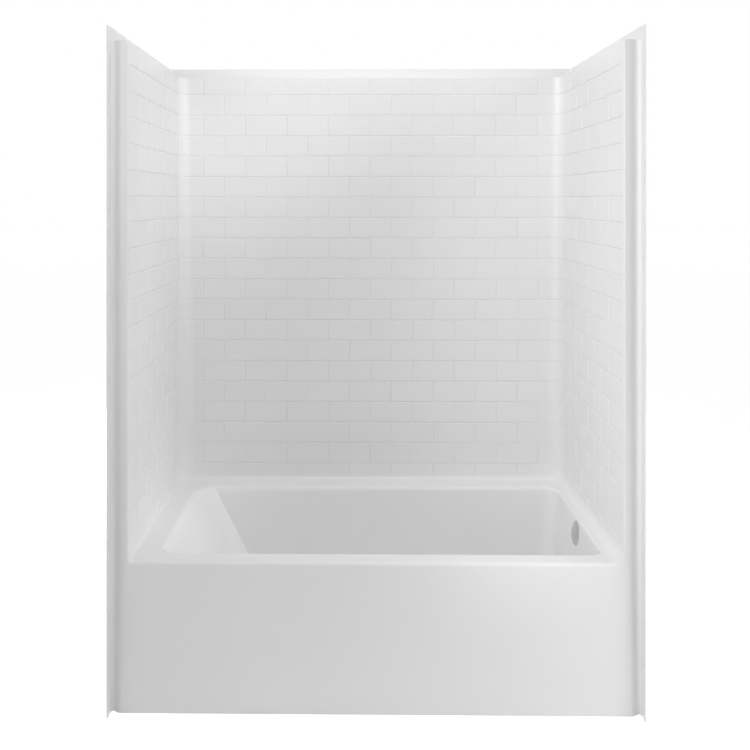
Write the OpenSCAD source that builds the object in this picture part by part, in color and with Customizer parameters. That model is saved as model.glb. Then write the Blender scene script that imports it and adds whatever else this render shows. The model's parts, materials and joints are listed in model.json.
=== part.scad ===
/* [Unit] */
// Overall width, from stud face to stud face
unit_w = 1524; // [1480:1:1620]
// Overall depth, from the front edge of the flanges to the rear studs
unit_d = 850; // [820:1:900]
// Overall height, from the floor to the top of the flanges
unit_h = 1966; // [1800:1:2150]
// Thickness of the moulded laminate
skin = 5; // [4:0.5:6]

/* [Walls] */
// How far the side walls stand in from the stud face
side_inset = 54; // [50:1:60]
// How far the back wall stands in from the rear studs
back_inset = 62; // [54:1:70]
// Radius between the walls, at the deck
corner_r_low = 60; // [50:1:70]
// Radius between the walls, at the ledge
corner_r_high = 22; // [16:1:40]
// Radius of the cove between the deck and the walls
cove_r = 10; // [8:1:12]

/* [Flanges and front columns] */
// Thickness of the flanges and of the column skin
flange_t = 4; // [3:0.5:5]
// How far the flanges rise above the ledge
flange_rise = 38; // [30:1:45]
// How far the front flanges stand forward of the columns
flange_lead = 26.5; // [20:0.5:30]
// Depth of the valley between flange and column
valley_depth = 11.5; // [10.5:0.5:14]
// Radius at the root of the flange, in the valley
valley_r = 10; // [7:0.5:10]
// Width of the flat land at the inner edge of a column
land_w = 6; // [5:0.5:8]
// Radius of the inner edge of a column
edge_r = 3; // [2:0.5:4]
// Depth of the wall's return behind a column
return_d = 60; // [50:1:70]

/* [Tiles] */
// Height of one course of tiles, with its joint
tile_h = 76.2; // [60:0.1:120]
// Length of one tile, with its joint
tile_w = 156; // [120:0.5:200]
// Height of the first full joint above the deck
first_joint = 56; // [30:1:70]
// Width of a joint
joint_w = 3; // [2:0.5:5]
// Depth of a joint
joint_d = 1.2; // [0.8:0.1:2]
// Place of one upright joint on the side walls, behind the centre
side_joint_y = 52; // [0:1:150]

/* [Deck and bathing well] */
// Height of the well's floor at the drain, above the building's floor
floor_z = 88; // [84:1:100]
// Depth of the well at the drain, which sets the height of the deck
well_depth = 346; // [330:1:360]
// Deck in front of the well, from the front edge of the flanges
front_deck = 92; // [88:1:110]
// Deck behind the well, from the rear studs
back_deck = 163; // [155:1:180]
// Deck at the backrest end, from the stud face
left_deck = 142; // [135:1:160]
// Deck at the drain end, from the stud face
right_deck = 95; // [92:1:100]
// Lean of the backrest, run over rise
backrest_lean = 0.488; // [0.40:0.01:0.55]
// Draft of the drain end, run over rise
end_draft = 0.105; // [0.08:0.005:0.12]
// Draft of the long sides, run over rise
side_draft = 0.09; // [0.06:0.01:0.12]
// Plan radius of the well's corners at the backrest end
well_r_left = 62; // [50:1:80]
// Plan radius of the well's corners at the drain end
well_r_right = 42; // [36:1:50]
// Radius between floor and backrest
floor_r_left = 70; // [60:1:80]
// Radius between floor and drain end
floor_r_right = 55; // [45:1:60]
// Fall of the floor from the backrest to the drain end
floor_fall = 8; // [4:1:12]
// Ease on the edge of the well
rim_ease = 6; // [4:0.5:8]
// Radius at the top edge of the apron
nose_r = 10; // [8:0.5:14]
// Depth of the lip under the apron
lip_d = 30; // [25:1:40]

/* [Backing] */
// Thickness of the wall panels
panel_t = 9; // [6:1:12]
// Margin of the wall panels from corners, deck and ledge
panel_margin = 36; // [30:1:60]
// Side of a deck rail or leg
rail_s = 38; // [30:1:40]
// Thickness of the base board under the well
board_t = 12; // [9:1:14]
// Height of the bearers that stand on the floor
bearer_h = 48; // [40:1:52]
// Width of a bearer
bearer_w = 50; // [40:1:70]
// Height of the rail behind the apron
apron_rail_h = 40; // [30:1:50]
// Thickness of the rail behind the apron
apron_rail_t = 20; // [15:1:24]
// Depth of a rib behind the apron
rib_d = 45; // [40:1:46]
// Thickness of a rib behind the apron
rib_t = 18; // [12:1:25]
// Thickness of a post under the drain end of the deck
post_t = 20; // [16:1:21]
// Width of a post under the drain end of the deck
post_w = 60; // [40:1:80]

/* [Drain] */
// Drain centre, from the stud face at the drain end
drain_in = 217; // [212:1:235]
// Radius of the drain hole in the well
drain_hole_r = 26; // [25.5:0.5:28]
// Depth of the flat seat round the drain
drain_recess = 2.5; // [1.5:0.5:3]
// Thickness of the laminate under the drain seat
drain_seat_t = 7.5; // [7:0.5:9]
// Outer radius of the strainer's flange
strainer_r = 36.5; // [35.5:0.5:38]
// Outer radius of the strainer's threaded body
strainer_body_r = 23.5; // [23:0.1:24]
// Inner radius of the strainer's throat
throat_r = 19.5; // [19:0.5:20]
// Length of the strainer's threaded body
strainer_l = 26.5; // [25:0.5:28]
// Thickness of the drain gasket
gasket_t = 4; // [3:0.5:5]
// Outer radius of the shoe's flange and the drain gasket
shoe_r = 38; // [36:0.5:42]
// Height of the shoe under its flange, down to its underside
shoe_h = 58; // [56:1:60]

/* [Stopper] */
// Travel of the toe-touch stopper
stopper_travel = 9; // [7:0.5:9]
// Radius of the stopper cap
cap_r = 31.5; // [30:0.5:33]
// Radius of the plunger
plunger_r = 5; // [4.5:0.5:5.5]
// Radius of the cartridge barrel
barrel_r = 8; // [7.5:0.5:10]
// Wire diameter of the cartridge spring
spring_wire = 0.9; // [0.7:0.1:1.1]
// Turns of the cartridge spring
spring_turns = 8; // [6:1:9]

/* [Overflow] */
// Overflow centre, down from the deck
overflow_drop = 49; // [46:1:60]
// Radius of the overflow hole
overflow_hole_r = 27; // [25:0.5:29]
// Thickness of the laminate at the overflow pad
overflow_pad_t = 7.4; // [6:0.1:9]
// Radius of the overflow cap
overflow_cap_r = 39.5; // [37:0.5:41]
// Height of the overflow cap's dome
dome_h = 13.5; // [11:0.5:16]
// Wall of the overflow cap
dome_t = 1.6; // [1.2:0.1:2]
// Radius of the retainer plate under the cap
retainer_r = 31; // [29:0.5:32]
// Spacing of the overflow screws from the centre
screw_pitch_r = 17; // [16:0.5:18]
// Radius of an overflow screw's shank
screw_r = 2.5; // [2:0.1:2.6]
// Least thickness of the wedge gasket
wedge_t = 2.4; // [2:0.1:4]
// Radius of the elbow's flange
elbow_flange_r = 36; // [34:0.5:37]

/* [Waste pipes] */
// Outer radius of the tubes
tube_r = 19.05; // [18.5:0.05:19.5]
// Wall of the tubes
tube_t = 1.8; // [1.2:0.1:2]
// Radius of the threaded ends
thread_r = 23.5; // [23:0.1:24]
// Depth of a tube in its socket
socket_d = 22; // [18:1:22]
// Radius across the corners of a slip nut
nut_r = 30; // [28:0.5:31]
// Thickness of a slip washer
washer_t = 5; // [4:0.5:6]
// Centre of the horizontal waste, above the underside of the shoe
waste_rise = 26; // [25:1:30]
// Reach of the tee's outlet hub, from the centre of its upright limb
tee_hub = 28; // [26:1:31]
// Length of the tee's upright limb, from the centre of its run
tee_limb = 44; // [43:1:48]
// Distance from the overflow elbow's face to the drop pipe
elbow_reach = 30; // [29:1:32]
// Length of the elbow's upright limb
elbow_limb = 45; // [43:1:55]
// Gap from the outlet's end to the stud face
outlet_gap = 2; // [1:1:6]

/* [Fits] */
// Radial clearance of a running fit
running = 0.1; // [0.05:0.01:0.1]
// Radial clearance of a fixed fit
fixed = 0.05; // [0.02:0.01:0.08]
// Gap between the cap seal and its seat when closed
seal_gap = 0.4; // [0.3:0.1:0.8]

/* [Hidden] */

// Facets round a turned part, and round a part inside a hull
fine = 64;
coarse = 32;
// Thickness of a slice that only shapes a hull
sliver = 0.01;
// How far a cut runs past the face that it opens
past = 1;

x_out = unit_w / 2;
y_front = -unit_d / 2;
y_back = unit_d / 2;
ledge_z = unit_h - flange_rise;
rim_z = floor_z + well_depth;
land_y = y_front + flange_lead;
wall_x = x_out - side_inset;
wall_y = y_back - back_inset;
deck_under = rim_z - skin;
// The walls start just behind the rounded edge of the apron
nose_gap = 2;
wall_start_y = land_y + nose_r + nose_gap;

// Edges of the well at deck height
well_left = -x_out + left_deck;
well_right = x_out - right_deck;
well_front = y_front + front_deck;
well_back = y_back - back_deck;
well_mid_y = (well_front + well_back) / 2;

// Drain
drain_x = x_out - drain_in;
drain_seat_z = floor_z - drain_recess;
drain_under_z = drain_seat_z - drain_seat_t;
shoe_top_z = drain_under_z - gasket_t;
shoe_flange_t = 4;
shoe_bottom_z = shoe_top_z - shoe_flange_t - shoe_h;
shoe_wall = 5.5;
shoe_cup_r = strainer_body_r + shoe_wall;
shoe_spigot = 26;
waste_z = shoe_bottom_z + waste_rise;
strainer_z = drain_seat_z - strainer_l;
strainer_lip = 3.1;
lip_ease = 1.5;
dish_r = strainer_r - 3.5;
dish_drop = 2.6;
seat_margin = 7.5;
drain_seat_r = strainer_r + seat_margin;
boss_margin = 11;
drain_boss_r = drain_seat_r + boss_margin;

// Stopper, at rest and open
crossbar_rise = 3;
crossbar_z = strainer_z + crossbar_rise;
crossbar_h = 5;
crossbar_w = 4;
hub_r = 7;
stud_r = 4.75;
barrel_z = crossbar_z + crossbar_h;
barrel_floor_t = 2.5;
barrel_floor_z = barrel_z + barrel_floor_t;
barrel_rise = 4.5;
barrel_top_z = drain_seat_z + barrel_rise;
// Free space below the plunger, and under the cap, when closed
plunger_rest = 0.5;
cap_rest = 1;
plunger_z = barrel_floor_z + stopper_travel + plunger_rest;
cap_under_z = barrel_top_z + stopper_travel + cap_rest;
plunger_wall = 1.3;
plunger_crown_t = 4;
plunger_bore_r = plunger_r - plunger_wall;
plunger_bore_top_z = cap_under_z - plunger_crown_t;
cap_stud_r = 3;
cap_stud_h = 3;
cap_edge_t = 3.5;
cap_edge_ease = 0.8;
cap_crown = 3.5;
seal_inset = 3.5;
seal_w = 8;
seal_r = cap_r - seal_inset;
seal_hole_r = seal_r - seal_w;
dish_at_seal = drain_seat_z + strainer_lip - dish_drop * (dish_r - seal_r) / (dish_r - throat_r);
seal_z = dish_at_seal + seal_gap + stopper_travel;

// Overflow: its own frame has +Z into the well and +X up the drain end
draft_angle = atan(end_draft);
overflow_z = rim_z - overflow_drop;
overflow_x = well_right - end_draft * overflow_drop;
seat_cut = 0.6;
cap_margin = 1;
overflow_seat_r = overflow_cap_r + cap_margin;
pad_margin = 3.5;
pad_r = overflow_seat_r + pad_margin;
gasket_hole_margin = 7;
gasket_hole_r = screw_pitch_r + gasket_hole_margin;
elbow_face_x = overflow_x + overflow_pad_t * cos(draft_angle) + elbow_flange_r * end_draft
    + wedge_t;
elbow_flange_t = 4;
elbow_wall = 4;
lug_r = 4.5;
lug_bite = 0.5;
elbow_bore_r = screw_pitch_r + lug_r - lug_bite;
elbow_barrel_r = elbow_bore_r + elbow_wall;
drop_x = elbow_face_x + elbow_reach;
elbow_end_z = overflow_z - elbow_limb;
retainer_t = 2;
screw_head_r = 4.5;
screw_head_h = 2.6;
screw_head_ease = 0.8;
screw_l = 31;
// The cap's inner ring that grips the retainer, its water way, and its straight edge
ring_t = 2;
cap_notch_d = 13;
cap_notch_w = 43;
cap_notch_h = 4;
cap_skirt_h = 1.6;

// Tube joints
bore_r = tube_r - tube_t;
tee_top = waste_z + tee_limb;
nut_wall = 2;
nut_skirt = 8;
nut_sides = 8;
nut_clear = 0.5;
tee_arm = thread_r + nut_skirt + nut_clear;
washer_taper = 2.5;
washer_inset = 1;
// Free play at the end of a tube in its socket
tube_play = 1;
outlet_end_x = x_out - outlet_gap;
bead_w = 2;
bead_rise = 1.2;
bead_r = tube_r + bead_rise;

// Core and board under the well
core_x0 = well_left + backrest_lean * (rim_z - floor_z - floor_r_left) + floor_r_left;
core_gap = 14;
core_x1 = drain_x - drain_boss_r - core_gap;
core_y0 = well_front + side_draft * well_depth + floor_r_right;
core_y1 = well_back - side_draft * well_depth - floor_r_right;
board_z = bearer_h;
core_z = board_z + board_t;

// Supports under the deck
rail_z = deck_under - rail_s;
rail_gap = 8;
rear_rail_y = wall_y - cove_r - rail_s;
rear_rail_half = wall_x - corner_r_low - rail_gap;
left_rail_x = -wall_x + cove_r + rail_gap;
rail_front_gap = 30;
rail_rear_gap = 20;
left_rail_y0 = wall_start_y + rail_front_gap;
left_rail_y1 = rear_rail_y - rail_rear_gap;
post_gap = 4;
post_x = well_right + skin + post_gap;
post_rear_gap = 60;

// Points on an arc about c, from angle a to angle b
function arc(c, r, a, b, n) = [for (i = [0:n]) let (t = a + (b - a) * i / n) c + r * [cos(t), sin(t)]];
// Value that goes from a to b as t goes from 0 to 1
function mix(a, b, t) = a + (b - a) * t;

// Section of a front column: x is in from the stud face, y is back from the flange's front edge
crest_x = side_inset - land_w;
valley_c = [flange_t + valley_r, flange_lead + valley_depth - valley_r];
valley_run = crest_x - valley_c[0];
valley_step = valley_r - valley_depth;
crest_r = (pow(valley_run, 2) + pow(valley_step, 2) - pow(valley_r, 2))
    / (2 * (valley_r - valley_step));
crest_c = [crest_x, flange_lead + crest_r];
turn = atan2(crest_c[1] - valley_c[1], valley_run);
// Directions in this section, towards the flange and towards the front
to_flange = 180;
to_front = 270;
column_face = concat(
    [[flange_t, 0]],
    arc(valley_c, valley_r, to_flange, turn, 8),
    arc(crest_c, crest_r, to_flange + turn, to_front, 6),
    arc([side_inset - edge_r, flange_lead + edge_r], edge_r, to_front, 360, 4));
column_back = concat(
    arc(crest_c, crest_r - flange_t, to_front, to_flange + turn, 6),
    arc(valley_c, valley_r + flange_t, turn, to_flange, 8));

// Both sides of the unit, left as drawn and right mirrored
module both_sides() {
    children();
    mirror([1, 0, 0]) children();
}

// Section points placed at the left front corner of the unit
module at_left_front() translate([-x_out, y_front, 0]) children();

// Frame of the overflow: origin on the well's wall, +Z into the well, +X up
module at_overflow() translate([overflow_x, well_mid_y, overflow_z])
    rotate([0, draft_angle - 90, 0]) children();

// Frame of the drain: origin at floor level of the room under the drain
module at_drain() translate([drain_x, well_mid_y, 0]) children();

// Space between the three walls, above the deck; grow makes the outer skin of the same form
module room(grow, front_y, top_z) {
    hull() for (side = [-1, 1]) {
        for (a = [0, 30, 60, 90]) {
            bulge = (cove_r + grow) * sin(a) - cove_r;
            z = rim_z + cove_r - (cove_r + grow) * cos(a);
            translate([side * (wall_x - corner_r_low), wall_y - corner_r_low, z])
                cylinder(r = corner_r_low + bulge, h = sliver, $fn = coarse);
            translate([side * (wall_x + bulge - sliver / 2) - sliver / 2, front_y, z])
                cube(sliver);
        }
        translate([side * (wall_x - corner_r_high), wall_y - corner_r_high, top_z])
            cylinder(r = corner_r_high + grow, h = sliver, $fn = coarse);
        translate([side * (wall_x + grow - sliver / 2) - sliver / 2, front_y, top_z])
            cube(sliver);
    }
}

// The bathing well; grow makes the outer skin of the same form
module well(grow, top_z) {
    hull() for (back = [false, true]) {
        y_top = back ? well_back : well_front;
        out_y = back ? 1 : -1;
        for (left = [false, true]) {
            r_top = left ? well_r_left : well_r_right;
            r_low = left ? floor_r_left : floor_r_right;
            lean = left ? backrest_lean : end_draft;
            out_x = left ? -1 : 1;
            x_top = left ? well_left : well_right;
            z_low = floor_z + (left ? floor_fall : 0) + r_low;
            drop = rim_z - z_low;
            translate([x_top - out_x * r_top, y_top - out_y * r_top, top_z])
                cylinder(r = r_top + grow, h = sliver, $fn = coarse);
            translate([
                x_top - out_x * (lean * drop + r_low * sqrt(1 + lean * lean)),
                y_top - out_y * (side_draft * drop + r_low * sqrt(1 + side_draft * side_draft)),
                z_low
            ]) sphere(r = r_low + grow, $fn = coarse);
        }
    }
}

// Eased edge where the deck turns down into the well
module well_edge() {
    hull() for (back = [false, true]) for (left = [false, true]) {
        r_top = left ? well_r_left : well_r_right;
        x = left ? well_left + r_top : well_right - r_top;
        y = back ? well_back - r_top : well_front + r_top;
        translate([x, y, rim_z - rim_ease]) cylinder(r = r_top - sliver, h = sliver, $fn = coarse);
        translate([x, y, rim_z]) cylinder(r = r_top + rim_ease / 2, h = sliver, $fn = coarse);
    }
}

// Joints between the tiles: rings round the walls, and upright joints in half bond
// Least distance of a joint from the ledge, and its gap above the cove
joint_below_ledge = 15;
joint_end_gap = 2;
last_joint = floor((ledge_z - rim_z - first_joint - joint_below_ledge) / tile_h);
joints_across = floor(wall_x / tile_w);
joints_deep = ceil(unit_d / tile_w / 2) + 1;
function joint_z(k) = rim_z + first_joint + k * tile_h;
function row_bottom(k) = max(joint_z(k), rim_z + cove_r + joint_end_gap);
function row_top(k) = min(joint_z(k + 1), ledge_z - joint_below_ledge / 2);
function corner_r_at(z) = mix(corner_r_low, corner_r_high, (z - rim_z) / (ledge_z - rim_z));
module tile_joints() {
    intersection() {
        room(joint_d, land_y + return_d / 2, ledge_z + past);
        for (k = [0:last_joint]) translate([-x_out, y_front, joint_z(k) - joint_w / 2])
            cube([unit_w, unit_d, joint_w]);
    }
    for (k = [-1:last_joint]) {
        shift = k % 2 == 0 ? 0 : tile_w / 2;
        z0 = row_bottom(k);
        height = row_top(k) - z0;
        flat_x = wall_x - corner_r_at(z0) - joint_w;
        flat_y = wall_y - corner_r_at(z0) - joint_w;
        for (i = [-joints_across - 1:joints_across]) {
            x = i * tile_w + shift;
            if (abs(x) < flat_x) translate([x - joint_w / 2, wall_y - past, z0])
                cube([joint_w, joint_d + past, height]);
        }
        for (i = [-joints_deep:joints_deep]) {
            y = side_joint_y + i * tile_w - shift;
            if (y > wall_start_y + return_d / 2 && y < flat_y) both_sides()
                translate([wall_x - past, y - joint_w / 2, z0])
                    cube([joint_d + past, joint_w, height]);
        }
    }
}

// Front column with its nailing flange, for the left side
module column() {
    at_left_front() linear_extrude(ledge_z) polygon(concat(
        [[0, 0]], column_face,
        [[side_inset, return_d], [side_inset - skin, return_d],
         [side_inset - skin, flange_lead + flange_t]],
        column_back));
    at_left_front() translate([0, 0, ledge_z - skin]) linear_extrude(skin) polygon(concat(
        [[0, 0]], column_face, [[side_inset, return_d], [0, return_d]]));
}

// Flanges that stand above the ledge
module top_flanges() {
    both_sides() translate([-x_out, y_front, ledge_z - skin])
        cube([flange_t, unit_d, flange_rise + skin]);
    translate([-x_out, y_back - flange_t, ledge_z - skin])
        cube([unit_w, flange_t, flange_rise + skin]);
}

// Apron with its rounded top edge, and the lip that it stands on
module apron() {
    half = x_out - crest_x;
    nose_c = [land_y + nose_r, rim_z - nose_r];
    translate([-half, 0, 0]) rotate([90, 0, 90]) linear_extrude(2 * half) polygon(concat(
        [[land_y, 0]],
        arc(nose_c, nose_r, 180, 90, 8),
        [[wall_start_y + skin, rim_z], [wall_start_y + skin, deck_under]],
        arc(nose_c, nose_r - skin, 90, 180, 4),
        [[land_y + skin, skin], [land_y + lip_d, skin], [land_y + lip_d, 0]]));
}

module shell() color("#f2f2f0") difference() {
    union() {
        room(skin, wall_start_y, ledge_z - sliver);
        translate([-x_out, y_front + return_d / 2 + flange_lead, ledge_z - skin])
            cube([unit_w, unit_d - return_d / 2 - flange_lead, skin]);
        both_sides() column();
        top_flanges();
        apron();
        well(skin, rim_z - skin / 2);
        at_drain() translate([0, 0, drain_under_z])
            cylinder(r = drain_boss_r, h = floor_z - drain_under_z + skin, $fn = fine);
        at_overflow() translate([0, 0, -overflow_pad_t])
            cylinder(r = pad_r, h = overflow_pad_t, $fn = fine);
    }
    room(0, y_front - past, ledge_z + past);
    well(0, rim_z);
    well_edge();
    tile_joints();
    at_drain() {
        translate([0, 0, drain_seat_z])
            cylinder(r = drain_seat_r, h = floor_r_right, $fn = fine);
        translate([0, 0, drain_under_z - past])
            cylinder(r = drain_hole_r, h = drain_seat_t + 2 * past, $fn = fine);
    }
    at_overflow() {
        translate([0, 0, -seat_cut]) cylinder(r = overflow_seat_r, h = 2 * rim_ease, $fn = fine);
        translate([0, 0, -2 * overflow_pad_t])
            cylinder(r = overflow_hole_r, h = 3 * overflow_pad_t, $fn = fine);
    }
}

// Plywood panels bonded to the backs of the walls
panel_z0 = rim_z + panel_margin;
panel_h = ledge_z - skin - panel_margin - panel_z0;
module back_panel() color("#c9a877")
    translate([-rear_rail_half, wall_y + skin, panel_z0])
        cube([2 * rear_rail_half, panel_t, panel_h]);
panel_front_gap = 12;
module side_panel() {
    y0 = land_y + return_d + panel_front_gap;
    translate([-wall_x - skin - panel_t, y0, panel_z0])
        cube([panel_t, wall_y - corner_r_low - rail_gap - y0, panel_h]);
}
module left_panel() color("#c9a877") side_panel();
module right_panel() color("#c9a877") mirror([1, 0, 0]) side_panel();

// Bedding that fills the space between the well's floor and the base board
module bedding_core() color("#d9c58a") difference() {
    translate([core_x0, core_y0, core_z])
        cube([core_x1 - core_x0, core_y1 - core_y0, floor_z + floor_fall - core_z]);
    well(skin, rim_z - skin / 2);
}
module base_board() color("#bf9a66") translate([core_x0, core_y0, board_z])
    cube([core_x1 - core_x0, core_y1 - core_y0, board_t]);
// Bearer at a place t along the board, from 0 to 1
module bearer(t) {
    x = mix(core_x0, core_x1 - bearer_w, t);
    translate([x, core_y0, 0]) cube([bearer_w, core_y1 - core_y0, bearer_h]);
}
module bearer_left() color("#caa06a") bearer(0.05);
module bearer_mid() color("#caa06a") bearer(0.5);
module bearer_right() color("#caa06a") bearer(0.95);

// Stiffeners behind the apron
rib_count = 4;
rib_end_gap = 150;
apron_rail_gap = 18;
module apron_rail() color("#caa06a") {
    half = wall_x - apron_rail_gap;
    translate([-half, land_y + skin, skin]) cube([2 * half, apron_rail_t, apron_rail_h]);
}
module apron_rib(i) {
    span = 2 * (wall_x - rib_end_gap);
    z0 = skin + apron_rail_h;
    translate([span * (i / (rib_count - 1) - 0.5) - rib_t / 2, land_y + skin, z0])
        cube([rib_t, rib_d, rim_z - nose_r - z0]);
}
module apron_rib_1() color("#caa06a") apron_rib(0);
module apron_rib_2() color("#caa06a") apron_rib(1);
module apron_rib_3() color("#caa06a") apron_rib(2);
module apron_rib_4() color("#caa06a") apron_rib(3);

// Rails and legs under the deck
module rear_rail() color("#caa06a") translate([-rear_rail_half, rear_rail_y, rail_z])
    cube([2 * rear_rail_half, rail_s, rail_s]);
module rear_leg() translate([-rear_rail_half, rear_rail_y, 0]) cube([rail_s, rail_s, rail_z]);
module rear_leg_left() color("#caa06a") rear_leg();
module rear_leg_right() color("#caa06a") mirror([1, 0, 0]) rear_leg();
module left_rail() color("#caa06a") translate([left_rail_x, left_rail_y0, rail_z])
    cube([rail_s, left_rail_y1 - left_rail_y0, rail_s]);
module left_leg() color("#caa06a") translate([left_rail_x, left_rail_y0, 0])
    cube([rail_s, rail_s, rail_z]);
module right_post(y) translate([post_x, y, 0]) cube([post_t, post_w, deck_under]);
module right_post_front() color("#caa06a") right_post(left_rail_y0 + rail_s);
module right_post_rear() color("#caa06a") right_post(left_rail_y1 - post_rear_gap - post_w);

// Strainer: dished flange, threaded body and crossbar
module strainer() color("#c8ccd0") at_drain() {
    rotate_extrude($fn = fine) polygon([
        [throat_r, strainer_z],
        [strainer_body_r, strainer_z],
        [strainer_body_r, drain_seat_z],
        [strainer_r, drain_seat_z],
        [strainer_r, drain_seat_z + strainer_lip / 2],
        [strainer_r - lip_ease, drain_seat_z + strainer_lip],
        [dish_r, drain_seat_z + strainer_lip],
        [throat_r, drain_seat_z + strainer_lip - dish_drop]
    ]);
    difference() {
        union() {
            for (a = [0, 90]) rotate(a)
                translate([-throat_r - past, -crossbar_w / 2, crossbar_z])
                    cube([2 * (throat_r + past), crossbar_w, crossbar_h]);
            translate([0, 0, crossbar_z]) cylinder(r = hub_r, h = crossbar_h, $fn = fine);
        }
        translate([0, 0, crossbar_z - past])
            cylinder(r = stud_r + fixed, h = crossbar_h + 2 * past, $fn = fine);
    }
}

module drain_gasket() color("#2b2b2b") at_drain() translate([0, 0, shoe_top_z]) difference() {
    cylinder(r = shoe_r, h = gasket_t, $fn = fine);
    translate([0, 0, -past])
        cylinder(r = strainer_body_r + fixed, h = gasket_t + 2 * past, $fn = fine);
}

// Shoe under the drain, with its socket towards the drain end
shoe_reach = shoe_cup_r + shoe_spigot;
shoe_bore_gap = 2;
module waste_shoe() color("#e4e2da") at_drain() difference() {
    union() {
        translate([0, 0, shoe_top_z - shoe_flange_t])
            cylinder(r = shoe_r, h = shoe_flange_t, $fn = fine);
        translate([0, 0, shoe_bottom_z]) cylinder(r = shoe_cup_r, h = shoe_h, $fn = fine);
        translate([0, 0, waste_z]) rotate([0, 90, 0])
            cylinder(r = thread_r, h = shoe_reach, $fn = fine);
    }
    translate([0, 0, strainer_z - shoe_bore_gap])
        cylinder(r = strainer_body_r + fixed, h = shoe_h, $fn = fine);
    translate([0, 0, shoe_bottom_z + elbow_wall])
        cylinder(r = strainer_body_r - shoe_bore_gap, h = strainer_z - shoe_bottom_z - elbow_wall,
            $fn = fine);
    translate([0, 0, waste_z]) rotate([0, 90, 0]) {
        cylinder(r = bore_r, h = shoe_reach + past, $fn = fine);
        translate([0, 0, shoe_reach - socket_d])
            cylinder(r = tube_r + fixed, h = socket_d + past, $fn = fine);
    }
}

// A tube of length l along +Z
module tube(l) difference() {
    cylinder(r = tube_r, h = l, $fn = fine);
    translate([0, 0, -past]) cylinder(r = bore_r, h = l + 2 * past, $fn = fine);
}

// Places of the slip joints: z is the fitting's end face, and +Z runs out along the tube
module at_elbow_end() translate([drop_x, well_mid_y, elbow_end_z]) rotate([180, 0, 0]) children();
module at_tee_top() translate([drop_x, well_mid_y, tee_top]) children();
module at_tee_in() translate([drop_x - tee_arm, well_mid_y, waste_z]) rotate([0, -90, 0])
    children();
module at_tee_out() translate([drop_x + tee_hub, well_mid_y, waste_z]) rotate([0, 90, 0])
    children();
module at_slip_joints() {
    at_elbow_end() children();
    at_tee_top() children();
    at_tee_in() children();
}
// Socket cut into a fitting's end
module socket_cut() translate([0, 0, -socket_d])
    cylinder(r = tube_r + fixed, h = socket_d + past, $fn = fine);

module slip_nuts() color("#f0efe9") at_slip_joints() difference() {
    translate([0, 0, -nut_skirt])
        cylinder(r = nut_r, h = nut_skirt + washer_t + nut_wall, $fn = nut_sides);
    translate([0, 0, -nut_skirt - past])
        cylinder(r = thread_r + fixed, h = nut_skirt + washer_t + past, $fn = fine);
    cylinder(r = tube_r + nut_clear, h = washer_t + nut_wall + past, $fn = fine);
}
module slip_washers() color("#8c9aa0") at_slip_joints() rotate_extrude($fn = fine) polygon([
    [tube_r + fixed, 0], [thread_r - washer_inset, 0], [thread_r - washer_inset, washer_t / 2],
    [tube_r + washer_taper, washer_t], [tube_r + fixed, washer_t]
]);

module shoe_tube() color("#e4e2da") {
    x0 = drain_x + shoe_reach - socket_d;
    x1 = drop_x - tee_arm + socket_d;
    translate([x0 + tube_play, well_mid_y, waste_z]) rotate([0, 90, 0])
        tube(x1 - x0 - 2 * tube_play);
}
module drop_pipe() color("#e4e2da")
    translate([drop_x, well_mid_y, tee_top - socket_d + tube_play])
        tube(elbow_end_z - tee_top + 2 * (socket_d - tube_play));
module outlet_tube() color("#e4e2da") {
    length = outlet_end_x - drop_x - tee_hub;
    at_tee_out() {
        translate([0, 0, tube_play - socket_d]) tube(socket_d - tube_play + length);
        difference() {
            cylinder(r = bead_r, h = bead_w, $fn = fine);
            translate([0, 0, -past]) cylinder(r = bore_r, h = bead_w + 2 * past, $fn = fine);
        }
    }
}

module waste_tee() color("#e4e2da") difference() {
    union() {
        at_tee_out() translate([0, 0, -tee_arm - tee_hub])
            cylinder(r = thread_r, h = tee_arm + tee_hub, $fn = fine);
        translate([drop_x, well_mid_y, waste_z])
            cylinder(r = thread_r, h = tee_top - waste_z, $fn = fine);
    }
    at_tee_out() translate([0, 0, -tee_arm - tee_hub - past])
        cylinder(r = bore_r, h = tee_arm + tee_hub + 2 * past, $fn = fine);
    translate([drop_x, well_mid_y, waste_z])
        cylinder(r = bore_r, h = tee_top - waste_z + past, $fn = fine);
    at_tee_top() socket_cut();
    at_tee_in() socket_cut();
    at_tee_out() socket_cut();
}

// Toe-touch cartridge: the barrel stays, the plunger and cap travel
module toe_barrel() color("#b8974e") at_drain() difference() {
    union() {
        translate([0, 0, crossbar_z]) cylinder(r = stud_r, h = crossbar_h, $fn = fine);
        translate([0, 0, barrel_z])
            cylinder(r = barrel_r, h = barrel_top_z - barrel_z, $fn = fine);
    }
    translate([0, 0, barrel_floor_z])
        cylinder(r = plunger_r + running, h = barrel_top_z - barrel_floor_z + past, $fn = fine);
}
module toe_plunger() color("#b8974e") at_drain() difference() {
    union() {
        translate([0, 0, plunger_z])
            cylinder(r = plunger_r, h = cap_under_z - plunger_z, $fn = fine);
        translate([0, 0, cap_under_z])
            cylinder(r = cap_stud_r, h = cap_stud_h - fixed, $fn = fine);
    }
    translate([0, 0, plunger_z - past])
        cylinder(r = plunger_bore_r, h = plunger_bore_top_z - plunger_z + past, $fn = fine);
}
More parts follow.
